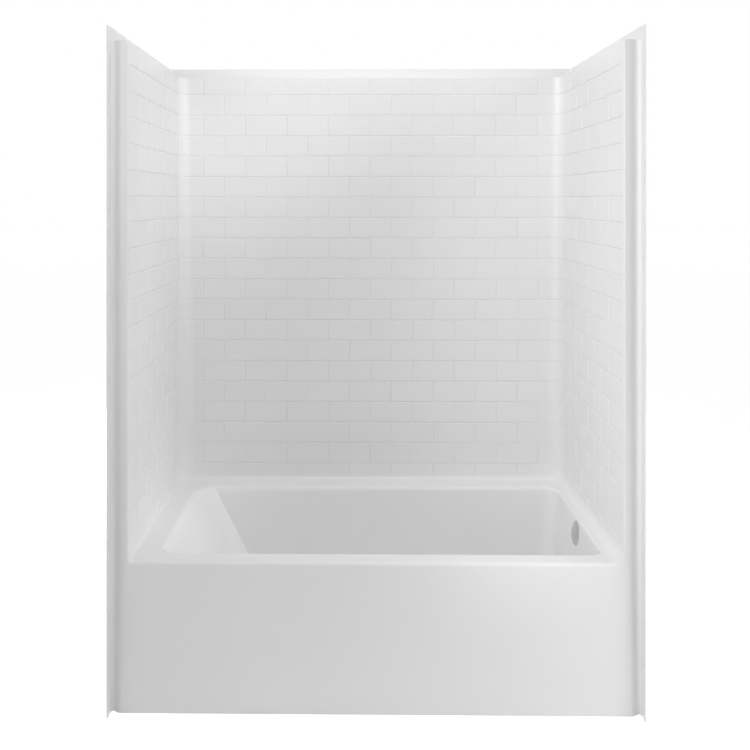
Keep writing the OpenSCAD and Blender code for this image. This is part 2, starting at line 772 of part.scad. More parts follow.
// Spring as one wire that winds up from the barrel's floor to the plunger's bore
spring_r = plunger_bore_r - spring_wire / 2 - 0.15;
spring_steps = 14;
spring_sides = 6;
spring_rise = plunger_bore_top_z - barrel_floor_z - spring_wire - 2 * fixed;
spring_rings = spring_turns * spring_steps;
spring_points = [for (i = [0:spring_rings]) let (
        a = 360 * i / spring_steps,
        z = spring_rise * i / spring_rings)
    for (j = [0:spring_sides - 1]) let (
        b = 360 * j / spring_sides,
        r = spring_r + spring_wire / 2 * cos(b))
    [r * cos(a), r * sin(a), z + spring_wire / 2 * sin(b)]];
spring_faces = concat(
    [[for (j = [0:spring_sides - 1]) j]],
    [for (i = [0:spring_rings - 1]) for (j = [0:spring_sides - 1]) let (
        p = i * spring_sides + j,
        q = i * spring_sides + (j + 1) % spring_sides)
        each [[p, p + spring_sides, q], [q, p + spring_sides, q + spring_sides]]],
    [[for (j = [spring_sides - 1:-1:0]) spring_rings * spring_sides + j]]);
module toe_spring() color("#9a9ea3") at_drain()
    translate([0, 0, barrel_floor_z + spring_wire / 2 + fixed])
        polyhedron(spring_points, spring_faces);

module stopper_cap() color("#d4d7da") at_drain() difference() {
    crown_r = (pow(cap_r, 2) + pow(cap_crown, 2)) / (2 * cap_crown);
    rotate_extrude($fn = fine) polygon(concat(
        [[0, cap_under_z], [cap_r - cap_edge_ease, cap_under_z],
         [cap_r, cap_under_z + cap_edge_ease]],
        arc([0, cap_under_z + cap_edge_t + cap_crown - crown_r], crown_r,
            acos(cap_r / crown_r), 90, 8)));
    translate([0, 0, cap_under_z - past])
        cylinder(r = cap_stud_r + fixed, h = cap_stud_h + past, $fn = fine);
}
module cap_seal() color("#2b2b2b") at_drain() translate([0, 0, seal_z]) difference() {
    cylinder(r = seal_r, h = cap_under_z - seal_z, $fn = fine);
    translate([0, 0, -past])
        cylinder(r = seal_hole_r, h = cap_under_z - seal_z + 2 * past, $fn = fine);
}

// Domed cap that snaps over the retainer, open at its lower edge for the water
module overflow_cap() color("#cfd3d7") at_overflow() difference() {
    crown_h = dome_h - cap_skirt_h;
    dome_r = (pow(overflow_cap_r, 2) + pow(crown_h, 2)) / (2 * crown_h);
    dome_c = [0, dome_h - seat_cut - dome_r];
    inner_r = overflow_cap_r - dome_t;
    skin_r = dome_r - dome_t;
    ring_r = retainer_r + ring_t;
    ring_top = dome_c[1] + sqrt(pow(skin_r, 2) - pow(ring_r, 2)) + dome_t / 2;
    union() {
        rotate_extrude($fn = fine) polygon(concat(
            [[inner_r, -seat_cut], [overflow_cap_r, -seat_cut]],
            arc(dome_c, dome_r, acos(overflow_cap_r / dome_r), 90, 12),
            arc(dome_c, skin_r, 90, acos(inner_r / skin_r), 12)));
        difference() {
            cylinder(r = ring_r, h = ring_top, $fn = fine);
            translate([0, 0, -past])
                cylinder(r = retainer_r + fixed, h = ring_top + 2 * past, $fn = fine);
        }
    }
    translate([-overflow_cap_r - past, -cap_notch_w / 2, -seat_cut - past])
        cube([cap_notch_d, cap_notch_w, cap_notch_h + past]);
}
module overflow_retainer() color("#9a9ea3") at_overflow() translate([0, 0, -seat_cut]) difference() {
    cylinder(r = retainer_r, h = retainer_t, $fn = fine);
    for (side = [-1, 1]) {
        translate([side * screw_pitch_r, 0, -past])
            cylinder(r = screw_pitch_r / 2, h = retainer_t + 2 * past, $fn = fine);
        translate([0, side * screw_pitch_r, -past])
            cylinder(r = screw_r + running, h = retainer_t + 2 * past, $fn = fine);
    }
}
module overflow_screws() color("#b9bcc0") at_overflow() for (side = [-1, 1])
    translate([0, side * screw_pitch_r, retainer_t - seat_cut]) {
        rotate_extrude($fn = fine) polygon([
            [0, 0], [screw_head_r, 0], [screw_head_r, screw_head_ease],
            [screw_head_r / 2, screw_head_h], [0, screw_head_h]
        ]);
        translate([0, 0, -screw_l])
            cylinder(r = screw_r, h = screw_l + screw_head_ease, $fn = fine);
    }
// Wedge that takes up the draft between the leaning wall and the upright elbow
module overflow_gasket() color("#2b2b2b") difference() {
    translate([overflow_x, well_mid_y, overflow_z]) rotate([0, 90, 0]) difference() {
        cylinder(r = elbow_flange_r, h = elbow_face_x - overflow_x, $fn = fine);
        translate([0, 0, -past])
            cylinder(r = gasket_hole_r, h = elbow_face_x - overflow_x + 2 * past, $fn = fine);
    }
    at_overflow() translate([-2 * pad_r, -2 * pad_r, -overflow_pad_t])
        cube([4 * pad_r, 4 * pad_r, 4 * pad_r]);
}
// Elbow behind the overflow, with two lugs for the screws and a socket for the drop pipe
module overflow_elbow() color("#e4e2da") {
    difference() {
        union() {
            translate([elbow_face_x, well_mid_y, overflow_z]) rotate([0, 90, 0]) {
                cylinder(r = elbow_flange_r, h = elbow_flange_t, $fn = fine);
                cylinder(r = elbow_barrel_r, h = elbow_reach, $fn = fine);
            }
            translate([drop_x, well_mid_y, overflow_z]) sphere(r = elbow_barrel_r, $fn = fine);
            translate([drop_x, well_mid_y, elbow_end_z])
                cylinder(r = thread_r, h = elbow_limb, $fn = fine);
        }
        translate([elbow_face_x - past, well_mid_y, overflow_z]) rotate([0, 90, 0])
            cylinder(r = elbow_bore_r, h = elbow_reach + past, $fn = fine);
        translate([drop_x, well_mid_y, overflow_z]) sphere(r = elbow_bore_r, $fn = fine);
        translate([drop_x, well_mid_y, elbow_end_z - past])
            cylinder(r = bore_r, h = elbow_limb + past, $fn = fine);
        at_elbow_end() socket_cut();
        screw_holes();
    }
    difference() {
        at_overflow() for (side = [-1, 1])
            translate([0, side * screw_pitch_r, retainer_t - seat_cut - screw_l])
                cylinder(r = lug_r, h = screw_l / 2, $fn = fine);
        screw_holes();
        translate([elbow_face_x - pad_r, well_mid_y - pad_r, overflow_z - pad_r])
            cube([pad_r, 2 * pad_r, 2 * pad_r]);
    }
}
module screw_holes() at_overflow() for (side = [-1, 1])
    translate([0, side * screw_pitch_r, retainer_t - seat_cut - screw_l - past])
        cylinder(r = screw_r + fixed, h = screw_l, $fn = fine);

shell();
back_panel();
left_panel();
right_panel();
bedding_core();
base_board();
bearer_left();
bearer_mid();
bearer_right();
apron_rail();
apron_rib_1();
apron_rib_2();
apron_rib_3();
apron_rib_4();
rear_rail();
rear_leg_left();
rear_leg_right();
left_rail();
left_leg();
right_post_front();
right_post_rear();
strainer();
drain_gasket();
waste_shoe();
shoe_tube();
toe_barrel();
toe_spring();
toe_plunger();
stopper_cap();
cap_seal();
overflow_cap();
overflow_retainer();
overflow_screws();
overflow_gasket();
overflow_elbow();
drop_pipe();
waste_tee();
slip_nuts();
slip_washers();
outlet_tube();
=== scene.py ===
import json
import math

import bmesh
import bpy
import numpy as np
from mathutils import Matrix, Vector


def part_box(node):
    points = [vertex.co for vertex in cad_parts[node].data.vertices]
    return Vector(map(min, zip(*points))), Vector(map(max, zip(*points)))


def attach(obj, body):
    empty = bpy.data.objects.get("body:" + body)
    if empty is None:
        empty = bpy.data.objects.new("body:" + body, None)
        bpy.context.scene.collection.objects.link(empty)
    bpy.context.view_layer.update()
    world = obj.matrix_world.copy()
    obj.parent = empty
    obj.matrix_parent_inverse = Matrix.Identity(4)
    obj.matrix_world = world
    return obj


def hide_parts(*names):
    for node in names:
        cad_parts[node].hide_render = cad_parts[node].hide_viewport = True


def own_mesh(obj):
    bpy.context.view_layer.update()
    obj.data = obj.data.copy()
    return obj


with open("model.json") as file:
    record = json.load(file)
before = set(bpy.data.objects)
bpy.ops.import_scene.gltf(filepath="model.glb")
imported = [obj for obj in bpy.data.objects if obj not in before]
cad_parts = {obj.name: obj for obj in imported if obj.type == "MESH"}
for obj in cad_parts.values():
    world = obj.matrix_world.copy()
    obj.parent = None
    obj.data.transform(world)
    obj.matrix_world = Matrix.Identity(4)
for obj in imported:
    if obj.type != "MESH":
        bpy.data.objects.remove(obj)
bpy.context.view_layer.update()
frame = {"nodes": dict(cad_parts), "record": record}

# Sizes in millimetres, the same as in the CAD source: x to the drain end, y to the rear, z up
MM = 0.001
HALF_W = 762.0
FRONT_Y = -425.0
REAR_Y = 425.0
TOP_Z = 1966.0
LEDGE_Z = 1928.0
RIM_Z = 434.0
WALL_X = 708.0
WALL_Y = 363.0
LAND_Y = -398.5
SKIN = 5.0
FLANGE = 4.0

# Moulded edges of the walls and the deck
EDGE_R = 3.0
NOSE_R = 10.0
COVE_R = 11.0
COVE_R_DRAIN = 32.0
CORNER_LOW = 60.0
CORNER_HIGH = 36.0
LIP_D = 30.0
BACK_EDGE_R = 0.4
FLANGE_BACK_R = 1.0
# The first line up the walls lies this far above the cove
COVE_CLEAR = 4.0

# Front columns, measured in from the stud face and back from the flange's front edge
LEAD = 26.5
VALLEY_D = 11.5
VALLEY_R = 10.0
CREST_IN = 48.0
EDGE_IN = 54.0
VALLEY_SHIFT = 10.0
VALLEY_TIGHTER = 4.0
EAR_Z = 404.0
APRON_Z = [EAR_Z, 330.0, 250.0, 170.0, 90.0, 40.0, 0.0]

# Tiles: courses of 3 in, 156 mm long, in half bond
COURSE = 76.2
FIRST_JOINT = 489.8
JOINT_COUNT = 19
TILE_BACK = 156.1
TILE_SIDE = 155.5
SIDE_JOINT_Y = -30.0
RIGHT_SHIFT = 15.0

# Section of a joint: its depth, and the share of it at these distances from the middle
JOINT_DEPTH = 2.0
JOINT_AT = (1.1, 2.4, 3.8)
JOINT_SHARE = (1.0, 0.28, 0.0)
JOINT_LINES = [-d for d in JOINT_AT[::-1]] + list(JOINT_AT)
# No joint reaches further than this from its middle
JOINT_REACH = 5.0

# The joints grow shallow between these places: round the corners, more so low down, and at the
# front edge. The upright ones end just above the cove and just below the ledge
SOFT_X = (590.0, 635.0)
SOFT_Y = (225.0, 285.0)
SOFT_Z = (1300.0, RIM_Z)
SOFT_LOSS = (0.2, 0.5)
FADE_Y = (-372.0, -364.0)
UPRIGHT_FOOT = (1.0, 4.0)
UPRIGHT_TOP = (1920.0, 1916.0)
UPRIGHT_HALF_X = 630.0

# Mesh lines of the flat walls and the deck: where the first and last lie, the widest gap between
# two, and how near to the first or last another may come
BACK_END_X = 640.0
SIDE_FRONT_Y = LAND_Y + NOSE_R + 4
SIDE_REAR_Y = 298.0
GAP_BACK = 40
GAP_SIDE = 24
GAP_DECK = 22
NEAREST = 1

# Steps round the curved parts
ARC_STEPS = 12
COVE_STEPS = 6
EDGE_STEPS = 4
VALLEY_STEPS = 8
CREST_STEPS = 7
EASE_STEPS = 6
FILLET_STEPS = 8
DECK_STEPS = 3
FLOOR_STEPS = 5

# Bathing well. Of two values the first is for the backrest's end, the second for the drain's
WELL_LEFT = -620.0
WELL_RIGHT = 667.0
WELL_FRONT = -333.0
WELL_BACK = 262.0
WELL_R = (62.0, 42.0)
BACKREST_R = 55.0
FRONT_LEFT_R = 34.0
# The backrest's far corner stops short of a quarter turn, in a crease with the rear wall
CREASE_TURN = math.radians(65)
# How far the rounded rim reaches over the deck and down into the well, by leg of the well:
# left, rear left corner, rear, rear right, right, front right, front, front left
EASE_AT = [0, 1, 2, 2.3, 3, 4, 5, 6, 7, 7.5, 8]
EASE_OVER = [18, 18, 16, 12, 9, 8, 8, 6, 7, 9, 18]
EASE_DOWN = [50, 50, 30, 15, 10, 7, 7, 7, 8, 12, 50]
# The rounding of the laminate's back is tighter by this share of the thickness, down to a least
EASE_TIGHTER = 0.7
EASE_LEAST = 1
# Places of the rings down the well's walls, from the rim's rounding to the floor's fillet
WALL_SHARES = [0.06, 0.12, 0.18, 0.24, 0.30, 0.42, 0.56, 0.70, 0.85, 1.0]
FLOOR_R = (70.0, 55.0)
# The front left corner widens by this much on its way down, so the backrest rolls into the rim
CORNER_SPREAD = 90.0
FLOOR_Z = 88.0
FLOOR_FALL = 8.0
LEANS = (0.488, 0.105)
SIDE_DRAFT = 0.09
MID_Y = (WELL_FRONT + WELL_BACK) / 2

# Seat of the strainer round the drain hole, in front and behind: radius and height of each ring,
# after the radius at which the floor ends
DRAIN = np.array([545.0, MID_Y])
SEAT_END = 46.0
SEAT_RINGS = [(44.5, 85.9), (43.5, 85.5), (26.0, 85.5)]
SEAT_END_BACK = 55.0
SEAT_RINGS_BACK = [(55.0, 79.0), (54.0, 78.0), (26.0, 78.0)]

# Seat of the overflow: radius and place of each ring along its axis, in front and behind
OVERFLOW = np.array([661.86, MID_Y, 385.0])
OVERFLOW_TILT = math.atan(LEANS[1])
OVERFLOW_RINGS = [(40.6, 0.0), (40.4, -0.6), (27.0, -0.6)]
OVERFLOW_RINGS_BACK = [(42.6, -SKIN), (42.5, -7.4), (27.0, -7.4)]
# The well's mesh leaves an opening this wide to each side of it, and this many rings high
OVERFLOW_CLEAR = 43.0
OVERFLOW_HIGH = 5

# Spring of the stopper: the radius of its coil and of its wire, its ends at rest, its turns, and
# the steps round each turn and round the wire
COIL_R = 3.1
WIRE_R = 0.45
COIL_Z = (70.06, 95.44)
COIL_TURNS = 8
TURN_STEPS = 24
WIRE_SIDES = 10

# Points of the laminate are joined where they fall in one cell of this grid. It is shifted, so
# that no round size lies on a cell's border. Edges that turn by more than the angle are sharp
JOIN_CELL = 0.01
JOIN_SHIFT = 0.00234
SHARP_TURN = math.radians(50)


def ramp(value, start=0.0, end=1.0):
    """From 0 at the start to 1 at the end."""
    return np.minimum(np.maximum((value - start) / (end - start), 0.0), 1.0)


def smooth(value):
    """From 0 to 1 with a soft start and end."""
    t = ramp(value)
    return t * t * (3 - 2 * t)


def sweep(start, end, steps):
    """Cosines and sines of evenly spaced angles, in degrees."""
    angles = np.radians(np.linspace(start, end, steps + 1))
    return np.cos(angles), np.sin(angles)


def placed(name, data):
    """A new object in the scene."""
    made = bpy.data.objects.new(name, data)
    bpy.context.scene.collection.objects.link(made)
    return made


class Laminate:
    """Patches of the moulded face, each with its own back, that join into one closed sheet."""

    def __init__(self):
        self.fronts = []
        self.backs = []
        self.quads = []
        self.creases = []
        self.count = 0

    def patch(self, front, back, closed=False, leave=None, crease=None):
        """A grid of faces; leave is an opening in it, and crease a line that stays sharp."""
        rows, columns = front.shape[:2]
        index = self.count + np.arange(rows * columns).reshape(rows, columns)
        if crease is not None:
            self.creases += list(index[crease])
        if closed:
            index = np.concatenate([index, index[:, :1]], 1)
        corners = [index[:-1, :-1], index[:-1, 1:], index[1:, 1:], index[1:, :-1]]
        quads = np.stack(corners, -1)
        if leave is not None:
            row_a, row_b, column_a, column_b = leave
            kept = np.ones(quads.shape[:2], bool)
            kept[row_a:row_b, column_a:column_b] = False
            quads = quads[kept]
        self.fronts.append(front.reshape(-1, 3))
        self.backs.append(back.reshape(-1, 3))
        self.quads.append(quads.reshape(-1, 4))
        self.count += rows * columns

    def mesh(self, name):
        """One closed mesh: gelcoat in front and round the trimmed edges, laminate behind."""
        fronts = np.concatenate(self.fronts)
        backs = np.concatenate(self.backs)
        keys = np.round((fronts + JOIN_SHIFT) / JOIN_CELL).astype(np.int64)
        first, merged = np.unique(keys, axis=0, return_index=True, return_inverse=True)[1:]
        merged = merged.reshape(-1)
        total = len(first)
        points = np.concatenate([fronts[first], backs[first]])
        faces = []
        finishes = []
        edge_use = {}
        for quad in merged[np.concatenate(self.quads)]:
            ring = [int(v) for i, v in enumerate(quad) if v != quad[i - 1]]
            if len(set(ring)) < 3:
                continue
            faces.append(ring)
            faces.append([v + total for v in reversed(ring)])
            finishes += [0, 1]
            for i, v in enumerate(ring):
                edge_use.setdefault(frozenset((ring[i - 1], v)), []).append((ring[i - 1], v))
        for uses in edge_use.values():
            if len(uses) == 1:
                a, b = uses[0]
                faces.append([b, a, a + total, b + total])
                finishes.append(0)
        made = bpy.data.meshes.new(name)
        made.from_pydata((points * MM).tolist(), [], faces)
        made.polygons.foreach_set("material_index", finishes)
        shape = bmesh.new()
        shape.from_mesh(made)
        bmesh.ops.recalc_face_normals(shape, faces=shape.faces)
        creased = set(merged[self.creases].tolist())
        for edge in shape.edges:
            line = creased.issuperset(v.index for v in edge.verts)
            edge.smooth = not line and edge.calc_face_angle(0) < SHARP_TURN
        for face in shape.faces:
            face.smooth = True
        shape.to_mesh(made)
        shape.free()
        return made


def with_fill(places, low, high, gap):
    """The places between low and high, with more put in where they lie further apart than gap."""
    inner = [round(p, 4) for p in places if low + NEAREST < p < high - NEAREST]
    kept = sorted(set([low, high] + inner))
    filled = []
    for a, b in zip(kept, kept[1:]):
        count = max(1, math.ceil((b - a) / gap))
        filled += [a + (b - a) * i / count for i in range(count)]
    return np.array(filled + [kept[-1]])


# Lines that run up the walls. Each upright joint gets a bundle of lines, in both bonds
back_joints = [TILE_BACK / 2 * i for i in range(-8, 9)]
left_joints = [SIDE_JOINT_Y + TILE_SIDE / 2 * i for i in range(-3, 5)]
right_joints = [y + RIGHT_SHIFT for y in left_joints]
back_x = with_fill([x + d for x in back_joints for d in JOINT_LINES],
                   -BACK_END_X, BACK_END_X, GAP_BACK)
left_y = with_fill([y + d for y in left_joints for d in JOINT_LINES] + list(FADE_Y),
                   SIDE_FRONT_Y, SIDE_REAR_Y, GAP_SIDE)
right_y = with_fill([y + d for y in right_joints for d in JOINT_LINES] + list(FADE_Y),
                    SIDE_FRONT_Y, SIDE_REAR_Y, GAP_SIDE)

# Where each stretch of the walls starts along such a row of lines
n_left = len(left_y) + 1
n_back = len(back_x)
arc_a = n_left
back_a = arc_a + ARC_STEPS + 1
arc_b = back_a + n_back
right_a = arc_b + ARC_STEPS + 1
n_wall = right_a + len(right_y) + 1

# Share of the way round the right corner, which is 0 on the left and back walls
round_right = np.zeros(n_wall)
round_right[arc_b:right_a] = np.linspace(0, 1, ARC_STEPS + 1)
round_right[right_a:] = 1
cove = COVE_R + (COVE_R_DRAIN - COVE_R) * smooth(round_right)


def wall_path(half, rear, radius, front):
    """Plan points of the walls from the left front to the right front, and where each faces."""
    points = np.zeros((n_wall, 2))
    facing = np.zeros((n_wall, 2))
    cos, sin = sweep(180, 90, ARC_STEPS)
    points[:n_left, 0] = -half
    points[0, 1] = front
    points[1:n_left, 1] = left_y
    facing[:n_left, 0] = 1
    points[arc_a:back_a] = np.stack([-half + radius + radius * cos,
                                     rear - radius + radius * sin], 1)
    facing[arc_a:back_a] = np.stack([-cos, -sin], 1)
    points[back_a:arc_b, 0] = back_x
    points[back_a:arc_b, 1] = rear
    facing[back_a:arc_b, 1] = -1
    cos, sin = sweep(90, 0, ARC_STEPS)
    points[arc_b:right_a] = np.stack([half - radius + radius * cos,
                                      rear - radius + radius * sin], 1)
    facing[arc_b:right_a] = np.stack([-cos, -sin], 1)
    points[right_a:-1, 0] = half
    points[right_a:-1, 1] = right_y[::-1]
    points[-1] = (half, front)
    facing[right_a:, 0] = -1
    return points, facing


def joint_shape(distance):
    """Depth of a joint, from 0 to 1, by the distance from its middle."""
    return np.interp(np.abs(distance), JOINT_AT, JOINT_SHARE)


def joint_depth(points, height):
    """How far each point of the walls lies back in a joint."""
    x, y = points.T
    level = joint_shape((height - FIRST_JOINT + COURSE / 2) % COURSE - COURSE / 2)
    above = height > FIRST_JOINT - JOINT_REACH
    below = height < FIRST_JOINT + COURSE * JOINT_COUNT - JOINT_REACH
    level = np.where(above & below, level, 0)
    on_back = np.arange(n_wall)
    on_back = (on_back >= back_a) & (on_back < arc_b)
    corner = np.where(on_back, ramp(np.abs(x), *SOFT_X), ramp(y, *SOFT_Y))
    loss = SOFT_LOSS[0] + SOFT_LOSS[1] * ramp(height, *SOFT_Z)
    level = level * (1 - loss * smooth(corner)) * smooth(ramp(y, *FADE_Y))
    course = int(np.floor((height - FIRST_JOINT) / COURSE)) % 2
    ends = ramp(height - RIM_Z - cove, *UPRIGHT_FOOT) * ramp(height, *UPRIGHT_TOP)
    along_back = (x / TILE_BACK - course / 2 + 0.5) % 1 - 0.5
    upright = np.where(on_back & (np.abs(x) < UPRIGHT_HALF_X),
                       joint_shape(along_back * TILE_BACK), 0)
    for side, joints in ((-1, left_joints), (1, right_joints)):
        here = (np.sign(x) == side) & ~on_back
        for place in joints[course::2]:
            upright = np.maximum(upright, np.where(here, joint_shape(y - place), 0))
    return JOINT_DEPTH * np.maximum(level, upright * ends)


def column_section(height):
    """Section of a front column at one height: the moulded face and the back of it."""
    low = ramp(height, EAR_Z, 0.0)
    radius = VALLEY_R - VALLEY_TIGHTER * low
    crest = CREST_IN - VALLEY_SHIFT * low
    valley = np.array([FLANGE + radius, LEAD + VALLEY_D - radius])
    run = crest - valley[0]
    step = radius - VALLEY_D
    crest_r = (run ** 2 + step ** 2 - radius ** 2) / (2 * (radius - step))
    centre = np.array([crest, LEAD + crest_r])
    turn = math.degrees(math.atan2(centre[1] - valley[1], run))
    hollow = np.stack(sweep(180, turn, VALLEY_STEPS), 1)
    swell = np.stack(sweep(180 + turn, 270, CREST_STEPS), 1)[1:]
    thick = np.linspace(FLANGE, SKIN, VALLEY_STEPS + CREST_STEPS + 1)[:, None]
    front = np.concatenate([valley + radius * hollow, centre + crest_r * swell])
    back = np.concatenate([valley + (radius + thick[:VALLEY_STEPS + 1]) * hollow,
                           centre + (crest_r - thick[VALLEY_STEPS + 1:]) * swell])
    return front, back


laminate = Laminate()

# The walls, the cove under them, the ledge on top and the flange that stands on it
edge_cos, edge_sin = sweep(0, 90, EDGE_STEPS)
edge_front = np.stack([EDGE_IN - EDGE_R + EDGE_R * edge_cos, LEAD + EDGE_R - EDGE_R * edge_sin], 1)
edge_shift = SKIN + BACK_EDGE_R - EDGE_R
edge_back = np.stack([EDGE_IN - EDGE_R - edge_shift + BACK_EDGE_R * edge_cos,
                      LEAD + EDGE_R + edge_shift - BACK_EDGE_R * edge_sin], 1)
section_front, section_back = column_section(LEDGE_Z)
ledge_front = np.concatenate([edge_front, section_front[::-1]])
ledge_back = np.concatenate([edge_back, section_back[::-1]])
ledge_z = np.full(len(ledge_front), LEDGE_Z)
ledge_z[:EDGE_STEPS + 1] = LEDGE_Z - EDGE_R + EDGE_R * edge_sin
wall_z = [FIRST_JOINT + COURSE * i + d for i in range(JOINT_COUNT) for d in JOINT_LINES]
wall_z += UPRIGHT_TOP[::-1]
cove_cos, cove_sin = sweep(90, 0, COVE_STEPS)


def nose_radius(turned):
    """Radius of the rounded front edge: small up the walls, large along the deck."""
    return EDGE_R + (NOSE_R - EDGE_R) * smooth(turned)


rows_front = []
rows_back = []


def wall_row(front_points, front_z, back_points, back_z):
    """One more row of the walls, in front and behind."""
    rows_front.append(np.column_stack([front_points, np.broadcast_to(front_z, n_wall)]))
    rows_back.append(np.column_stack([back_points, np.broadcast_to(back_z, n_wall)]))


for i in range(COVE_STEPS + 1):
    radius = nose_radius(1 - i / COVE_STEPS)
    plan, facing = wall_path(WALL_X, WALL_Y, CORNER_LOW, LAND_Y + radius)
    plan_back = plan.copy()
    plan_back[[0, -1], 1] = LAND_Y + max(radius, SKIN + BACK_EDGE_R)
    inset = cove * (1 - cove_cos[i])
    inset_back = cove - (cove + SKIN) * cove_cos[i]
    wall_row(plan + facing * inset[:, None], RIM_Z + cove * (1 - cove_sin[i]),
             plan_back + facing * inset_back[:, None], RIM_Z + cove - (cove + SKIN) * cove_sin[i])
# Height of each row, and the height that it takes its joints from. The first row follows the
# cove's top, with the joints from above the widest part of it
row_heights = [(RIM_Z + cove + COVE_CLEAR, RIM_Z + COVE_R_DRAIN + JOINT_REACH)]
row_heights += [(z, z) for z in wall_z + [LEDGE_Z - EDGE_R]]
for height, joint_z in row_heights:
    share = (np.mean(height) - RIM_Z) / (LEDGE_Z - RIM_Z)
    corner = CORNER_LOW + (CORNER_HIGH - CORNER_LOW) * share
    plan, facing = wall_path(WALL_X, WALL_Y, corner, LAND_Y + EDGE_R)
    plan_back = plan - facing * SKIN
    plan_back[[0, -1], 1] = LAND_Y + SKIN + BACK_EDGE_R
    wall_row(plan - facing * joint_depth(plan, joint_z)[:, None], height,
             plan_back, np.minimum(height, LEDGE_Z - SKIN))
for k in range(1, len(ledge_front)):
    share = (EDGE_IN - ledge_front[k, 0]) / (EDGE_IN - FLANGE)
    plan = wall_path(HALF_W - ledge_front[k, 0], WALL_Y + (REAR_Y - FLANGE - WALL_Y) * share,
                     CORNER_HIGH + (EDGE_R - CORNER_HIGH) * share, FRONT_Y + ledge_front[k, 1])[0]
    share = (EDGE_IN - SKIN - ledge_back[k, 0]) / (EDGE_IN - SKIN)
    plan_back = wall_path(HALF_W - ledge_back[k, 0],
                          WALL_Y + SKIN + (REAR_Y - WALL_Y - SKIN) * share,
                          CORNER_HIGH + SKIN + (FLANGE_BACK_R - CORNER_HIGH - SKIN) * share,
                          FRONT_Y + ledge_back[k, 1])[0]
    wall_row(plan, ledge_z[k], plan_back, LEDGE_Z - SKIN)
root_v = section_front[0, 1]
plan = wall_path(HALF_W - FLANGE, REAR_Y - FLANGE, EDGE_R, FRONT_Y + root_v)[0]
plan_back = wall_path(HALF_W, REAR_Y, FLANGE_BACK_R, FRONT_Y + root_v)[0]
wall_row(plan, TOP_Z, plan_back, TOP_Z)
room_front = np.stack(rows_front)
room_back = np.stack(rows_back)
laminate.patch(room_front, room_back)
# The flange's top corners reach on to its front edge
for corner in (0, -1):
    tips = []
    for room in (room_front, room_back):
        tip = np.stack([room[-2:, corner]] * 2, 1)
        tip[:, 1, 1] = FRONT_Y
        tips.append(tip)
    laminate.patch(*tips)

# The rounded front edge: down the left wall, along the deck, and up the right wall
deck_x = with_fill([WELL_LEFT + WELL_R[0], WELL_RIGHT - WELL_R[1]],
                   -WALL_X + COVE_R, WALL_X - COVE_R_DRAIN, GAP_DECK)


def wall_stations(side):
    """Stations of the front edge on one wall, from the ledge down to the deck."""
    radius = COVE_R if side < 0 else COVE_R_DRAIN
    found = []
    for z in [LEDGE_Z - EDGE_R] + wall_z[::-1] + [RIM_Z + radius + COVE_CLEAR]:
        found.append((side * WALL_X, z, -side, 0.0, EDGE_R, side * (HALF_W - CREST_IN), z))
    half = COVE_STEPS // 2
    for i in range(COVE_STEPS + 1):
        cos, sin = cove_cos[::-1][i], cove_sin[::-1][i]
        x = WALL_X - radius * (1 - cos)
        z = RIM_Z + radius * (1 - sin)
        out_x = HALF_W - CREST_IN
        out_z = RIM_Z + radius + (EAR_Z - RIM_Z - radius) * min(1, i / half)
        if i > half:
            out_x += (WALL_X - radius - out_x) * (i - half) / (COVE_STEPS - half)
        found.append((side * x, z, -side * cos, sin, nose_radius(i / COVE_STEPS),
                      side * out_x, out_z))
    return found


left_stations = wall_stations(-1)
right_stations = wall_stations(1)
deck_stations = [(x, RIM_Z, 0.0, 1.0, NOSE_R, x, EAR_Z) for x in deck_x[1:-1]]
stations = np.array(left_stations + deck_stations + right_stations[::-1])
sx, sz, dx, dz, rad, px, pz = stations.T
roll_front = np.zeros((len(stations), EDGE_STEPS + 1, 3))
roll_back = np.zeros_like(roll_front)
back_r = np.maximum(rad - SKIN, BACK_EDGE_R)
shift = rad - SKIN - back_r
for i in range(EDGE_STEPS + 1):
    for target, radius, moved in ((roll_front, rad, 0), (roll_back, back_r, shift)):
        reach = moved - rad + radius * edge_cos[i]
        target[:, i, 0] = sx + dx * reach
        target[:, i, 2] = sz + dz * reach
        target[:, i, 1] = LAND_Y + rad - moved - radius * edge_sin[i]
roll_front[[0, -1], :, 2] = LEDGE_Z - EDGE_R + EDGE_R * edge_sin
roll_back[[0, -1], :, 2] = LEDGE_Z - SKIN
laminate.patch(roll_front, roll_back)

# Flat lands up the columns' inner edges, and the ears beside the deck
out_front = np.column_stack([px, np.full(len(px), LAND_Y), pz])
out_front[[0, -1], 2] = LEDGE_Z
out_back = out_front + np.array([0, SKIN, 0])
out_back[[0, -1], 2] = LEDGE_Z - SKIN
laminate.patch(np.stack([roll_front[:, -1], out_front], 1),
               np.stack([roll_back[:, -1], out_back], 1))

# Apron, and the lip that it stands on
corner_a = len(left_stations) - 1 - (COVE_STEPS - COVE_STEPS // 2)
corner_b = len(stations) - 1 - corner_a
apron_front = []
apron_back = []
for z in APRON_Z:
    crest = CREST_IN - VALLEY_SHIFT * ramp(z, EAR_Z, 0.0)
    row = out_front[corner_a:corner_b + 1].copy()
    row[:, 0] *= (HALF_W - crest) / (HALF_W - CREST_IN)
    row[:, 2] = z
    apron_front.append(row)
    apron_back.append(row + np.array([0, SKIN, SKIN if z == 0 else 0]))
apron_front.append(apron_front[-1] + np.array([0, LIP_D, 0]))
apron_back.append(apron_front[-1] + np.array([0, 0, SKIN]))
laminate.patch(np.stack(apron_front), np.stack(apron_back))

